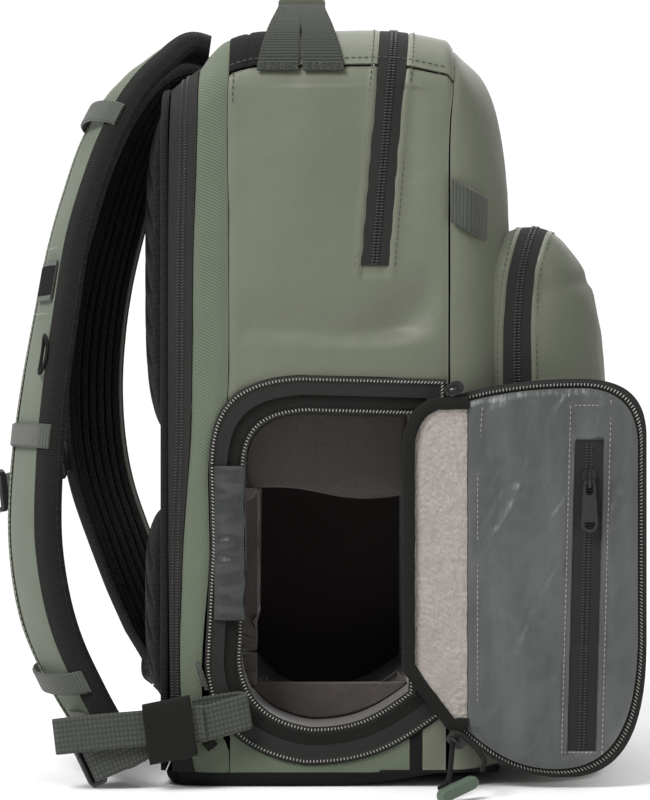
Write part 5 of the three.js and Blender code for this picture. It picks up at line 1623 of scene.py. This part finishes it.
def ribbon(name, path, wide, thick, power=0.6, sides=16, facing=(0, -1, 0)):
    """A soft flattened band along a path: its width lies square to the path and to its facing."""
    verts, uvs, run = [], [], 0.0
    count = len(path)
    face = Vector(facing)
    for i, p in enumerate(path):
        along = (path[min(i + 1, count - 1)] - path[max(i - 1, 0)]).normalized()
        side = along.cross(face).normalized()
        out = side.cross(along)
        if i:
            run += (p - path[i - 1]).length
        for k in range(sides):
            angle = 2 * math.pi * k / sides
            c, s = math.cos(angle), math.sin(angle)
            a = math.copysign(abs(c) ** power, c) * wide
            b = math.copysign(abs(s) ** power, s) * thick
            verts.append((p + side * a + out * b)[:])
            uvs.append((run * MM, a * MM + (b * MM if s > 0 else 0)))
    faces = []
    for i in range(count - 1):
        for k in range(sides):
            m = (k + 1) % sides
            faces.append((i * sides + k, i * sides + m, (i + 1) * sides + m, (i + 1) * sides + k))
    faces.append(tuple(range(sides))[::-1])
    faces.append(tuple((count - 1) * sides + k for k in range(sides)))
    obj = mesh_object(name, verts, faces, uvs)
    tidy(obj, False)
    return obj


WEB_LANES = (0.0, 0.03, 0.1, 0.3, 0.5, 0.7, 0.9, 0.97, 1.0)


def web(name, path, across, width, thick, steps, lift=None, lanes=WEB_LANES, ring=False):
    """A flat strap along a path with softened edges. Its outer face is on the side of across × along."""
    rows, outs, backs = [], [], []
    for i in range(steps + 1):
        u = i / steps
        reach = Vector(across(u)).normalized()
        out = reach.cross(path.along(u)).normalized()
        centre = path.at(u)
        wide = width(u) if callable(width) else width
        row, facing, back = [], [], []
        for v in lanes:
            t = thick(u, v) if callable(thick) else thick * (0.5 if v in (0.0, 1.0) else 1.0)
            stand = (lift(u, v) if lift else 0.0) + t / 2
            row.append((centre + reach * wide * (v - 0.5) + out * stand)[:])
            facing.append(out[:])
            back.append(t)
        rows.append(row)
        outs.append(facing)
        backs.append(back)
    return shell(name, np.array(rows), np.array(backs), hint=np.array(outs), ring=ring)


def handle_path(foot, grip):
    """Route of one handle web, from foot over the crest to foot."""
    half = []
    for s, lift in HANDLE_ROWS:
        half.append((mix(foot, grip, min(1, (s - HANDLE_ROWS[0][0]) / 0.18)), s, lift))
    crest = [(grip, 0.0, HANDLE_HEIGHT - BAG_HEIGHT - TOP_CROWN)]
    rows = half + crest + [(x, -s, lift) for x, s, lift in half[::-1]]
    return Route([body_point(x, s, -lift - 1.4) for x, s, lift in rows])


def make_handle():
    """The two webs of the carry handle, their stitches and the wrapped grip."""
    thread = Bits()
    for side, word in ((-1, "back"), (1, "front")):
        path = handle_path(HANDLE_CENTRE + side * HANDLE_FOOT, HANDLE_CENTRE + side * HANDLE_SPREAD * 0.72)

        def width(u):
            return (HANDLE_WEB_WIDTH - 1.6) * (1 - 0.54 * math.sin(math.pi * u) ** 2)

        obj = web(f"handle_web_{word}_cloth", path, lambda u: (1, 0, 0), width, WEB_THICK, 90)
        dress(obj, "handle", f"handle_web_{word}")
        for end in (0.012, 0.988):
            foot = path.at(end)
            out = (foot - Vector((foot.x, 0, foot.z - 40))).normalized()
            for row in range(3):
                spot = clamp(end + (0.012 * row if end < 0.5 else -0.012 * row), 0, 1)
                middle = path.at(spot)
                line = []
                for k, x in enumerate(np.linspace(-11, 11, 12)):
                    line.append(middle + Vector((x, 0, 0.8 * (-1) ** k)) + out * 1.1)
                for a, b in zip(line, line[1:]):
                    thread.add(a, b, 0.32)
    dress(thread.build("handle_stitches"), "dark_thread")
    path = handle_path(HANDLE_CENTRE, HANDLE_CENTRE)
    sleeve = [path.at(mix(0.36, 0.64, i / 40)) for i in range(41)]
    wide = HANDLE_SPREAD * 0.72 + HANDLE_WEB_WIDTH * 0.25 + 0.8
    obj = ribbon("handle_grip_cloth", sleeve, wide, 3.6, 0.5, 28, facing=(0, 0, 1))
    dress(obj, "coated", "handle_grip")


def make_side_tab():
    """The short webbing loop in the front seam."""
    rows = [(1.008, 0), (1.03, 1.6), (1.07, 4), (1.11, 2.6), (1.135, 0)]
    path = Route([body_point(x * BODY_DEPTH, -0.51, -lift - 1.4) for x, lift in rows])
    obj = web("side_tab_cloth", path, lambda u: (0.02, 0, 1), 25, WEB_THICK, 24)
    dress(obj, "webbing", "side_tab_loop")


def strap_route(rows):
    """Middle line of a strap from its table."""
    return Route([(x * STRAP_REACH, y * SIDE_PLANE, z * BAG_HEIGHT) for x, y, z, _, _ in rows])


def strap_across(rows):
    """Direction across a strap at each place."""
    turn = strap_route(rows).column([row[4] for row in rows])

    def across(u):
        a = math.radians(turn(u))
        return Vector((-math.sin(a), math.cos(a), 0))

    return across


def strap_lens(v):
    """Share of the full thickness across a strap."""
    return 0.42 + 0.58 * math.sqrt(max(0.0, 1 - abs(2 * v - 1) ** 2.6))


def strap_face(rows, u, side, height):
    """A point at a height over a strap: side runs from -1 to 1 across it."""
    path = strap_route(rows)
    reach = strap_across(rows)(u).normalized()
    out = reach.cross(path.along(u)).normalized()
    width = path.column([row[3] for row in rows])(u) * STRAP_WIDTH
    return path.at(u) + reach * (side * width / 2) + out * height


STRAP_LANES = tuple(0.5 - 0.5 * math.cos(math.pi * i / 26) for i in range(27))


def make_strap(word, rows):
    """One shoulder strap: padded face, mesh backing and both edge bindings."""
    path = strap_route(rows)
    share = path.column([row[3] for row in rows])
    across = strap_across(rows)
    steps = 150

    def thick(u, v):
        upper = 1 - smooth(0.2, 0.45, u)
        soft = 0.7 * noise.noise(Vector((u * 16, v * 2.2, 1.0)))
        soft += 0.9 * upper * noise.noise(Vector((u * 30, v * 1.2, 5.0)))
        edge = 1 - 0.3 * math.exp(-(((v - 0.1) / 0.025) ** 2)) - 0.3 * math.exp(-(((v - 0.9) / 0.025) ** 2))
        return max(1.0, STRAP_THICK * strap_lens(v) * edge + soft * math.sin(math.pi * v) - 0.6)

    def lift(u, v):
        return thick(u, v) / 2

    def width(u):
        return share(u) * STRAP_WIDTH

    obj = web(f"strap_{word}_cloth", path, across, width, thick, steps, lift, STRAP_LANES)
    dress(obj, "twill", f"strap_{word}")

    def mesh_thick(u, v):
        channel = min(abs(((v * 7) % 1) - 0.5), 0.5)
        return 2.6 - 0.9 * math.exp(-((channel / 0.1) ** 2)) * smooth(0, 0.08, min(v, 1 - v))

    def mesh_width(u):
        return share(u) * (STRAP_WIDTH + 2 * STRAP_EDGE)

    def mesh_lift(u, v):
        return -0.5 - mesh_thick(u, v) / 2

    lanes = tuple(i / 42 for i in range(43))
    obj = web(f"strap_{word}_backing", path, across, mesh_width, mesh_thick, steps, mesh_lift, lanes)
    dress(obj, "mesh", f"strap_{word}_mesh")
    for side, look in ((1, "coated"), (-1, "knit")):
        count = 150
        line = [strap_face(rows, i / count, side * 1.04, 1.2) for i in range(count + 1)]
        obj = edge_band(f"strap_{word}_{'outer' if side > 0 else 'inner'}_edge", line, rows, side)
        dress(obj, look)


def edge_band(name, line, rows, side):
    """Binding folded over a strap's edge."""
    count = len(line) - 1
    points = []
    first = 0.86 if side > 0 else 0.72
    spots = [(first, 1.3), (0.92, 1.0), (0.985, 0.9), (1.02, 0.6), (1.045, -0.2)]
    spots += [(1.055, -1.4), (1.03, -3.0), (0.97, -3.6), (0.9, -3.6)]
    for i in range(count + 1):
        u = i / count
        row = []
        for t, kind in spots:
            v = clamp((side * t + 1) / 2)
            base = STRAP_THICK * strap_lens(v) if t <= 1 else STRAP_THICK * strap_lens(0) * (1 - (t - 1) * 4)
            height = base + kind - 0.6 if kind > 0.5 else kind
            row.append(strap_face(rows, u, side * t, height)[:])
        points.append(row)
    grid_points = np.array(points)
    centre = np.array([strap_face(rows, i / count, 0, 2)[:] for i in range(count + 1)])[:, None, :]
    return shell(name, grid_points, 0.8, hint=grid_points - centre)


def strap_band(
    name, rows, u, tall, rise, look, replaces=(), overhang=0.03, thick=WEB_THICK, start=-1.0, end=1.0
):
    """A band of webbing across a strap, raised in its middle."""
    centre = strap_route(rows)
    down = centre.along(u)
    places = []
    for t in np.linspace(start, end, 13):
        stand = STRAP_THICK * strap_lens((t + 1) / 2) + CLEARANCE + thick / 2 + rise * (1 - t * t)
        places.append(strap_face(rows, u, t * (1 + overhang), stand))
    obj = web(name, Route(places), lambda w: down, tall, thick, 40)
    return dress(obj, look, replaces)


def make_strap_trim():
    """Webbing bands, the bare patch, stitches and the cord loop of the straps."""
    strap_band("strap_loop_upper_cloth", STRAP_NEAR, 0.26, 14, 4, "webbing", "strap_loop_upper")
    strap_band("strap_band_cloth", STRAP_NEAR, 0.61, 14, 0.3, "webbing", "strap_band")
    strap_band("strap_loop_lower_cloth", STRAP_NEAR, 0.85, 14, 6, "webbing", "strap_loop_lower")
    strap_band("strap_patch", STRAP_NEAR, 0.468, 24, 0.2, "webbing", (), -0.1, 1.2, -0.62, 0.42)
    strap_band("strap_patch_face", STRAP_NEAR, 0.468, 18, 0.9, "black", (), -0.1, 0.9, -0.62, 0.42)
    thread = Bits()
    for u in (0.44, 0.497):
        line = []
        for t in np.linspace(-0.55, 0.36, 12):
            line.append(strap_face(STRAP_NEAR, u, t, STRAP_THICK * strap_lens((t + 1) / 2) + 1.9))
        thread.stitches(line, *LABEL_STITCH)
    for rows in (STRAP_NEAR, STRAP_FAR):
        for side in (-0.8, 0.8):
            line = []
            for u in np.linspace(0.08, 0.96, 120):
                v = (side + 1) / 2
                line.append(strap_face(rows, u, side, STRAP_THICK * strap_lens(v) - 0.1))
            thread.stitches(line, *STRAP_STITCH)
    dress(thread.build("strap_stitches"), "thread")
    loop = []
    for k in range(17):
        angle = math.pi * 2 * k / 16
        along, side = 0.535 + 0.018 * math.cos(angle), -0.62 + 0.16 * math.sin(angle)
        loop.append(strap_face(STRAP_NEAR, along, side, 9.8 + 1.4 * math.cos(angle) ** 2))
    dress(tube("strap_cord_loop", loop[:-1], 1.0, 8, closed=True), "knit")


def make_gusset_trim():
    """A short cord loop on the gusset and a ribbed tab at its foot."""
    loop = [(23, -146.6, 55), (21.4, -149, 61), (19.4, -150, 67), (17.6, -148.4, 71)]
    loop = Route(loop + [(18.6, -147.4, 65), (21, -146.8, 57)])
    dress(tube("gusset_cord_pull", loop.sample(30), 1.1, 8), "webbing")
    tab = Route([(20.4, -147.2, 30), (23, -148.2, 27), (26.6, -147.4, 22.6)]).sample(16)
    dress(ribbon("gusset_tab", tab, 3.4, 1.1), "grosgrain")


def make_yoke():
    """The mesh piece that joins both straps at the top."""
    rows = [-0.034, -0.016, 0.016, 0.034]
    path = Route([body_point(11, spot, -1.9) for spot in rows])
    across = body_point(20, 0) - body_point(2, 0)
    obj = web("strap_yoke_cloth", path, lambda u: across, 18, 2.4, 12)
    dress(obj, "mesh", "strap_yoke")


def make_sternum():
    """The short webs that hold the sternum clips."""
    for word, rows, side in (("near", STRAP_NEAR, 1), ("far", STRAP_FAR, -1)):
        start = strap_face(rows, 0.66, side, 2)
        edge = strap_across(rows)(0.66) * side
        lead = (Vector((-0.5, 0, -0.2)) + edge * 0.85).normalized()
        reach = (Vector((0, 0, -1)) + lead * lead.z).normalized()
        path = Route([start + lead * t for t in (1.1, 6, 10, 15)])
        obj = web(f"sternum_web_{word}_cloth", path, lambda u: reach, SMALL_WEB_WIDTH, WEB_THICK, 16)
        dress(obj, "webbing", f"sternum_web_{word}")


def lock_at(middle, bars, run):
    """A ladder lock: its middle and its directions."""
    x = Vector(bars).normalized()
    z = Vector(run)
    z = (z - x * z.dot(x)).normalized()
    return Vector(middle), x, z, z.cross(x)


ADJUSTER = -SIDE_PLANE - 13
LOCK_NEAR = lock_at((-41.5, ADJUSTER + 8.6, 13.5), (0.42, 0, -0.9), (0.8, -0.5, 0.3))
LOCK_FAR = lock_at((-20, SIDE_PLANE - 10, 32), (0.25, 0.95, 0), (0.75, 0, -0.65))


def lock_point(lock, run, face):
    """A point of a ladder lock along its run and off its face."""
    middle, _, z, out = lock
    return middle + z * run + out * face


def turning(first, last, start, end):
    """A direction that turns from one to another over a stretch."""
    first, last = Vector(first), Vector(last)
    return lambda u: first.lerp(last, smooth(start, end, u) if end > start else 0)


def make_adjusters():
    """The adjuster webs, the free tail with its keeper and the ladder webs."""
    ap = ADJUSTER
    near = [lock_point(LOCK_NEAR, 0.6, -2.6), lock_point(LOCK_NEAR, 7, -2.6)]
    near += [(-22, ap + 2.4, 22), (-4, ap + 1.6, 30), (14, ap + 1, 35), (34, ap + 1, 40.5)]
    near += [(43, ap + 1.4, 43), (47, ap + 4, 44.2), (43, ap + 7, 44.6), (32, ap + 9.4, 43), (16, ap + 11.6, 40)]
    facing = turning(-LOCK_NEAR[1], (-0.16, 0, 1), 0.06, 0.34)
    obj = web("adjuster_near_cloth", Route(near), facing, SMALL_WEB_WIDTH, WEB_THICK, 90)
    dress(obj, "waffle", "adjuster_web_near")
    tail = [(22, ap - 1.4, 38), (0, ap - 2, 36), (-30, ap - 2.6, 33.4), (-56, ap - 2.6, 30.6)]
    tail += [(-60.6, ap - 0.6, 30), (-56, ap + 1.4, 30.4), (-40, ap + 0.6, 32.2), (-20, ap - 0.2, 34)]
    lean = (-0.12, 0, 1)
    obj = web("adjuster_tail_cloth", Route(tail), turning(lean, lean, 0, 1), SMALL_WEB_WIDTH, WEB_THICK, 80)
    dress(obj, "waffle", "adjuster_tail_near")
    rings = []
    for i in range(41):
        angle = 2 * math.pi * i / 40
        c, s = math.cos(angle), math.sin(angle)
        wide, tall = 4.4 + 1.2, 15.4 + 1.2
        across, up = math.copysign(abs(c) ** 0.3, c) * wide, math.copysign(abs(s) ** 0.3, s) * tall
        row = []
        for j in range(27):
            t = mix(-13, 13, j / 26)
            gather = 0.3 * math.sin(j * 1.9) + 0.25 * math.sin(up * 1.1 + j)
            y = ap - 0.4 + across * (1 + 0.03 * gather) + math.copysign(gather * 0.3, across)
            row.append((3 + t - up * 0.14, y, 33.8 + t * 0.2 + up))
        rings.append(row)
    points = np.array(rings)
    points[-1] = points[0]
    middle = np.array([3.0, ap - 0.4, 33.8])
    obj = shell("keeper_cloth", points, 1.1, hint=points - middle, ring=True)
    dress(obj, "grosgrain", "keeper_near")
    for word, rows, side, lock in (("near", STRAP_NEAR, -1, LOCK_NEAR), ("far", STRAP_FAR, 1, LOCK_FAR)):
        route = [strap_face(rows, 0.89, side * 0.3, 11.6), strap_face(rows, 0.93, side * 0.5, 12)]
        route += [lock_point(lock, -9, -2.6 * side), lock_point(lock, -0.6, -2.6 * side)]
        start = strap_across(rows)(0.9)
        end = -lock[1] if start.dot(lock[1]) < 0 else lock[1]
        obj = web(f"ladder_web_{word}_cloth", Route(route), turning(start, end, 0, 0.7), SMALL_WEB_WIDTH, WEB_THICK, 40)
        dress(obj, "webbing", f"ladder_web_{word}")
    far = [lock_point(LOCK_FAR, 0.6, -2.6), lock_point(LOCK_FAR, 7, -2.6)]
    far += [(-4, SIDE_PLANE - 4, 17), (8, SIDE_PLANE + 3.6, 19), (26, SIDE_PLANE + 2.6, 22)]
    facing = turning(LOCK_FAR[1], (0, 0.1, 1), 0.34, 0.7)
    obj = web("adjuster_far_cloth", Route(far), facing, SMALL_WEB_WIDTH, WEB_THICK, 50)
    dress(obj, "webbing", "adjuster_web_far")


CORD_LEFT = [
    (161.2, -156.8, 27.4),
    (160.2, -156.8, 25.7),
    (159.6, -160.4, 22.4),
    (158.8, -168, 18.4),
    (158, -176, 15),
    (157, -184, 11),
    (154.6, -192, 8.2),
    (151.3, -199.2, 7.1),
]
CORD_RIGHT = [
    (161.6, -156.8, 28.1),
    (162.6, -156.8, 29.8),
    (165, -160, 31),
    (168, -166, 29),
    (171.4, -172, 26.6),
    (174.2, -178, 23.4),
    (176.2, -183.4, 19.6),
    (174.6, -187.6, 14.7),
]
CORD_THICK = 3.0


def make_cords():
    """The two cords from the lower door slider to the toggle."""
    for word, route in (("left", CORD_LEFT), ("right", CORD_RIGHT)):
        path = [metres(p) for p in Route(route).sample(28)]
        line = bpy.data.curves.new(f"pull_cord_{word}_line", "CURVE")
        line.dimensions = "3D"
        line.bevel_depth = CORD_THICK / 2 * MM
        line.bevel_resolution = 4
        line.use_fill_caps = True
        spline = line.splines.new("POLY")
        spline.points.add(len(path) - 1)
        for point, place in zip(spline.points, path):
            point.co = (*place, 1)
        obj = bpy.data.objects.new(f"pull_cord_{word}_braid", line)
        bpy.context.scene.collection.objects.link(obj)
        obj.data.materials.append(LOOKS["knit"])
        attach(obj, ROOT_BODY)
        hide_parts(f"pull_cord_{word}")


def make_stitches():
    """Stitch rows of the body, pocket and door lining."""
    thread = Bits()
    side_thread = Bits()
    reach = zip_reach()
    half = MAIN_ZIP_WIDTH / 2

    for offset in (-half - 3.4, half + 3.4):
        side_thread.stitches(band_line(zip_centre, offset, -reach, reach, 220, 0.1), *PANEL_STITCH)
    side_thread.stitches(band_line("side", 2.8, -0.43, -TOP_SEAM - 0.004, 40, 0.0), *SEAM_STITCH)
    for side in (-1, 1):
        rows = []
        for i in range(61):
            x = mix(36, 160, i / 60)
            rows.append(body_point(x, side * (TOP_SEAM - 0.012), 0.0))
        side_thread.stitches(rows, *SEAM_STITCH)
    away = (POCKET_ZIP_WIDTH / 2 + 3.2) / POCKET_DEPTH
    for offset in (-away, away):
        line = []
        for i in range(81):
            s = mix(-0.9, 0.9, i / 80)
            line.append(pocket_point(pocket_zip_centre(s) + offset, s, -0.1))
        side_thread.stitches(line, *PANEL_STITCH)
    dress(side_thread.build("panel_stitches"), "dark_thread")

    def lining_line(at, low, high):
        return [Vector((at(z), LINING_BACK - 3.9, z)) for z in np.linspace(low, high, 60)]

    def beside_pad(z):
        return HINGE_PAD[1] + 5.6 + 3.4 * smooth(60, 0, 230 - z)

    thread.stitches(lining_line(beside_pad, 40, 214), *LINING_STITCH)
    for offset in (-11.0, 11.0):
        line = lining_line(lambda z: tape_centre(z) + offset * 1.02, TAPE_LOW - 2, TAPE_HIGH + 6)
        thread.stitches(line, *LINING_STITCH)
    for first, last, stand, z in ((228, 246, 3.8, 214), (222, 240, 3.4, TAPE_LOW - 1)):
        line = [Vector((x, LINING_BACK - stand, z)) for x in np.linspace(first, last, 8)]
        thread.stitches(line, *BAR_STITCH)
    dress(thread.build("lining_stitches"), "thread")


def make_pocket_zip():
    """The tape and coil of the front pocket."""

    def surface(u, v):
        s = mix(-0.93, 0.93, u)
        half = POCKET_ZIP_WIDTH / 2 / POCKET_DEPTH
        return pocket_point(pocket_zip_centre(s) + mix(-half, half, v), s, 0.5)

    dress(shell("front_pocket_tape", grid(surface, 180, 8), 1.2), "tape", "front_pocket_zip")
    coil = Bits()
    for offset in (-1.2, 1.2):
        sides = []
        for extra in (-1.1, 1.1):
            line = []
            for i in range(221):
                s = mix(-0.93, 0.93, i / 220)
                line.append(pocket_point(pocket_zip_centre(s) + (offset + extra) / POCKET_DEPTH, s, 0.3))
            sides.append(line)
        coil.teeth(sides[0], sides[1], 1.7, 0.55)
    dress(coil.build("front_pocket_coil"), "teeth")


KEPT = {
    "pocket_zip_slider": "metal",
    "pocket_zip_pull": "metal",
    "door_slider_top": "metal",
    "door_slider_bottom": "metal",
    "pull_toggle": "toggle",
    "sternum_clip_near": "plastic",
    "sternum_clip_far": "plastic",
    "ladderlock_near": "plastic",
    "ladderlock_far": "plastic",
}


def dress_kept():
    """Better materials for the hard nodes that stay."""
    for node, look in KEPT.items():
        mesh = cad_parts[node].data
        mesh.materials.clear()
        mesh.materials.append(LOOKS[look])


# Sizes and colours that a user may change

COLOURS = {
    "coated": ("Coated cloth", linear(89, 93, 78)),
    "twill": ("Twill", linear(88, 96, 81)),
    "webbing": ("Webbing", linear(63, 66, 60)),
    "tape": ("Zip tape", linear(34, 34, 33)),
    "teeth": ("Zip teeth", linear(128, 127, 120)),
    "mesh": ("Air mesh", linear(15, 17, 18)),
    "knit": ("Knitted binding", linear(22, 21, 20)),
    "nylon": ("Lining", linear(66, 68, 68)),
    "fleece": ("Fleece", linear(158, 150, 144)),
    "tricot": ("Tricot", linear(74, 68, 65)),
    "black": ("Black cloth", linear(16, 15, 16)),
    "grosgrain": ("Grosgrain", linear(20, 21, 18)),
    "plastic": ("Buckles", linear(28, 29, 30)),
    "metal": ("Zip pulls", linear(44, 44, 44)),
    "toggle": ("Toggle", linear(58, 70, 58)),
    "thread": ("Pale thread", linear(140, 140, 128)),
    "dark_thread": ("Thread", linear(48, 52, 42)),
}


def colour_property(label, value):
    about = f"Colour of the {label.lower()}"
    return FloatVectorProperty(
        name=label, description=about, subtype="COLOR", size=3, min=0, max=1, default=value
    )


class BackpackColours(bpy.types.PropertyGroup):
    """Colours of the backpack's materials."""

    __annotations__ = {key: colour_property(*value) for key, value in COLOURS.items()}


class BackpackStage(bpy.types.PropertyGroup):
    """Camera and light."""

    camera_distance: FloatProperty(
        name="Camera distance",
        description="From the camera to the bag's middle",
        unit="LENGTH", min=0.5, default=1.7,
    )
    camera_height: FloatProperty(
        name="Camera height",
        description="Height of the lens over the floor",
        unit="LENGTH", min=0.02, default=0.217,
    )
    camera_side: FloatProperty(
        name="Camera side", description="Lens place along the bag's depth", unit="LENGTH", default=0.0103
    )
    frame_width: FloatProperty(
        name="Frame width",
        description="Width of the view at the open side",
        unit="LENGTH", min=0.1, default=0.364,
    )
    light: FloatProperty(name="Light", description="Strength of the soft lamps", min=0, default=1.0)


class PieceOperator:
    """Runs the makers of one group of pieces."""

    bl_options = {"REGISTER", "UNDO"}
    makers = ()

    def execute(self, context):
        if not LOOKS:
            make_looks(context.scene.backpack_colours)
        for maker in self.makers:
            maker()
        return {"FINISHED"}


class BACKPACK_OT_stage(PieceOperator, bpy.types.Operator):
    """Sets the camera, the floor and the lamps"""

    bl_idname = "backpack.stage"
    bl_label = "Camera, floor and light"

    def execute(self, context):
        make_stage(context.scene.backpack_stage)
        return {"FINISHED"}


class BACKPACK_OT_cords(PieceOperator, bpy.types.Operator):
    """Makes the two cords of the door's pull"""

    bl_idname = "backpack.cords"
    bl_label = "Pull cords"
    makers = (make_cords,)


class BACKPACK_OT_body(PieceOperator, bpy.types.Operator):
    """Makes the body's panels, gusset, base and top"""

    bl_idname = "backpack.body"
    bl_label = "Body panels"
    makers = (make_side_near, make_side_far, make_top, make_gusset, make_lower_band, make_front, make_base)


class BACKPACK_OT_back(PieceOperator, bpy.types.Operator):
    """Makes the back panel, its two pads and their piping"""

    bl_idname = "backpack.back"
    bl_label = "Back panel and pads"
    makers = (make_back,)


class BACKPACK_OT_pocket(PieceOperator, bpy.types.Operator):
    """Makes the front pocket and its zip"""

    bl_idname = "backpack.pocket"
    bl_label = "Front pocket"
    makers = (make_front_pocket, make_pocket_zip)


class BACKPACK_OT_zips(PieceOperator, bpy.types.Operator):
    """Makes the laptop zip and the main zip"""

    bl_idname = "backpack.zips"
    bl_label = "Body zips"
    makers = (make_body_zips,)


class BACKPACK_OT_opening(PieceOperator, bpy.types.Operator):
    """Makes the opening's zip and lining and the padded cube with its dividers"""

    bl_idname = "backpack.opening"
    bl_label = "Camera opening"
    makers = (make_opening, make_lining_strip, make_cube)


class BACKPACK_OT_door(PieceOperator, bpy.types.Operator):
    """Makes the open door with its lining, pocket zip and hinge pad"""

    bl_idname = "backpack.door"
    bl_label = "Door"
    makers = (make_door, make_hinge)


class BACKPACK_OT_handle(PieceOperator, bpy.types.Operator):
    """Makes the carry handle and the webbing tab"""

    bl_idname = "backpack.handle"
    bl_label = "Handle and tab"
    makers = (make_handle, make_side_tab, make_gusset_trim)


class BACKPACK_OT_straps(PieceOperator, bpy.types.Operator):
    """Makes both shoulder straps with their edges, bands and yoke"""

    bl_idname = "backpack.straps"
    bl_label = "Shoulder straps"

    def execute(self, context):
        if not LOOKS:
            make_looks(context.scene.backpack_colours)
        make_strap("near", STRAP_NEAR)
        make_strap("far", STRAP_FAR)
        make_strap_trim()
        make_yoke()
        make_sternum()
        return {"FINISHED"}


class BACKPACK_OT_adjusters(PieceOperator, bpy.types.Operator):
    """Makes the adjuster webs and their keeper"""

    bl_idname = "backpack.adjusters"
    bl_label = "Adjusters"
    makers = (make_adjusters,)


class BACKPACK_OT_stitching(PieceOperator, bpy.types.Operator):
    """Makes the stitch rows of panels and linings"""

    bl_idname = "backpack.stitching"
    bl_label = "Stitching"
    makers = (make_stitches,)


class BACKPACK_OT_fittings(PieceOperator, bpy.types.Operator):
    """Gives the buckles, sliders and toggle their finishes"""

    bl_idname = "backpack.fittings"
    bl_label = "Hard fittings"
    makers = (dress_kept,)


OPERATORS = (
    BACKPACK_OT_stage,
    BACKPACK_OT_cords,
    BACKPACK_OT_body,
    BACKPACK_OT_back,
    BACKPACK_OT_pocket,
    BACKPACK_OT_zips,
    BACKPACK_OT_opening,
    BACKPACK_OT_door,
    BACKPACK_OT_handle,
    BACKPACK_OT_straps,
    BACKPACK_OT_adjusters,
    BACKPACK_OT_stitching,
    BACKPACK_OT_fittings,
)


class BACKPACK_PT_pieces(bpy.types.Panel):
    """Lists the backpack's pieces, colours and stage values"""

    bl_label = "Camera backpack"
    bl_idname = "BACKPACK_PT_pieces"
    bl_space_type = "VIEW_3D"
    bl_region_type = "UI"
    bl_category = "Backpack"

    def draw(self, context):
        layout = self.layout
        for operator in OPERATORS:
            layout.operator(operator.bl_idname, text=operator.bl_label)
        for key in COLOURS:
            layout.prop(context.scene.backpack_colours, key)
        for key in ("camera_distance", "camera_height", "camera_side", "frame_width", "light"):
            layout.prop(context.scene.backpack_stage, key)


CLASSES = (BackpackColours, BackpackStage, *OPERATORS, BACKPACK_PT_pieces)


# lamp, width and height in metres, watts, place in metres
LAMPS = [
    ("key_lamp", (0.9, 0.9), 45, (-0.85, -1.15, 1.6)),
    ("fill_lamp", (1.6, 1.6), 8, (1.5, -1.4, 0.9)),
    ("top_lamp", (1.4, 1.4), 26, (0.1, 0.2, 2.2)),
    ("back_lamp", (1.6, 1.2), 14, (0.3, 1.5, 1.4)),
]
# light of the sky on the bag, and its brightness where the camera sees it
SKY_LIGHT, SKY_SEEN = 0.27, 1.05


def lamp(name, size, power, place, aim=(0.0, 0.0, 0.2)):
    """One soft rectangular lamp."""
    data = bpy.data.lights.new(name, "AREA")
    data.shape = "RECTANGLE"
    data.size, data.size_y = size
    data.energy = power
    obj = bpy.data.objects.new(name, data)
    obj.location = place
    obj.rotation_euler = (Vector(aim) - Vector(place)).to_track_quat("-Z", "Y").to_euler()
    bpy.context.scene.collection.objects.link(obj)


def make_stage(values):
    """Camera, floor, sky and lamps."""
    scene = bpy.context.scene
    data = bpy.data.cameras.new("camera")
    data.sensor_fit = "HORIZONTAL"
    data.sensor_width = 36
    data.lens = 36 * (values.camera_distance - 0.145) / values.frame_width
    data.clip_start, data.clip_end = 0.05, 50
    camera = bpy.data.objects.new("camera", data)
    camera.location = (values.camera_side, ORIGIN.y - values.camera_distance, values.camera_height)
    camera.rotation_euler = (math.pi / 2, 0, 0)
    scene.collection.objects.link(camera)
    scene.camera = camera
    floor_mesh = bpy.data.meshes.new("floor")
    wide, near, far = 2.6, -2.6, 0.75
    corners = [(-wide, near, 0), (wide, near, 0), (wide, far, 0), (-wide, far, 0)]
    floor_mesh.from_pydata(corners, [], [(0, 1, 2, 3)])
    floor = bpy.data.objects.new("floor", floor_mesh)
    scene.collection.objects.link(floor)
    look = Look("floor_paint", roughness=0.9)
    speck = look.ramp(look.noise(3.0, 2.0), 0.3, 0.7)
    look.colour(look.blend(speck, (0.86, 0.86, 0.86), (0.9, 0.9, 0.9)))
    floor_mesh.materials.append(look.mat)
    world = bpy.data.worlds.new("studio")
    world.use_nodes = True
    tree = world.node_tree
    sky = tree.nodes["Background"]
    sky.inputs[0].default_value = (1, 1, 1, 1)
    seen = tree.nodes.new("ShaderNodeLightPath")
    strength = tree.nodes.new("ShaderNodeMapRange")
    strength.inputs[3].default_value = SKY_LIGHT * values.light
    strength.inputs[4].default_value = SKY_SEEN
    tree.links.new(seen.outputs["Is Camera Ray"], strength.inputs[0])
    tree.links.new(strength.outputs[0], sky.inputs[1])
    scene.world = world
    scene.view_settings.view_transform = "Standard"
    power = values.light
    for name, size, watts, place in LAMPS:
        lamp(name, size, watts * power, place)


def register():
    for item in CLASSES:
        bpy.utils.register_class(item)
    bpy.types.Scene.backpack_colours = PointerProperty(type=BackpackColours)
    bpy.types.Scene.backpack_stage = PointerProperty(type=BackpackStage)


def unregister():
    del bpy.types.Scene.backpack_stage
    del bpy.types.Scene.backpack_colours
    for item in reversed(CLASSES):
        bpy.utils.unregister_class(item)


def main():
    register()
    for operator in OPERATORS:
        group, name = operator.bl_idname.split(".")
        getattr(getattr(bpy.ops, group), name)()
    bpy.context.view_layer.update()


if __name__ == "__main__":
    main()
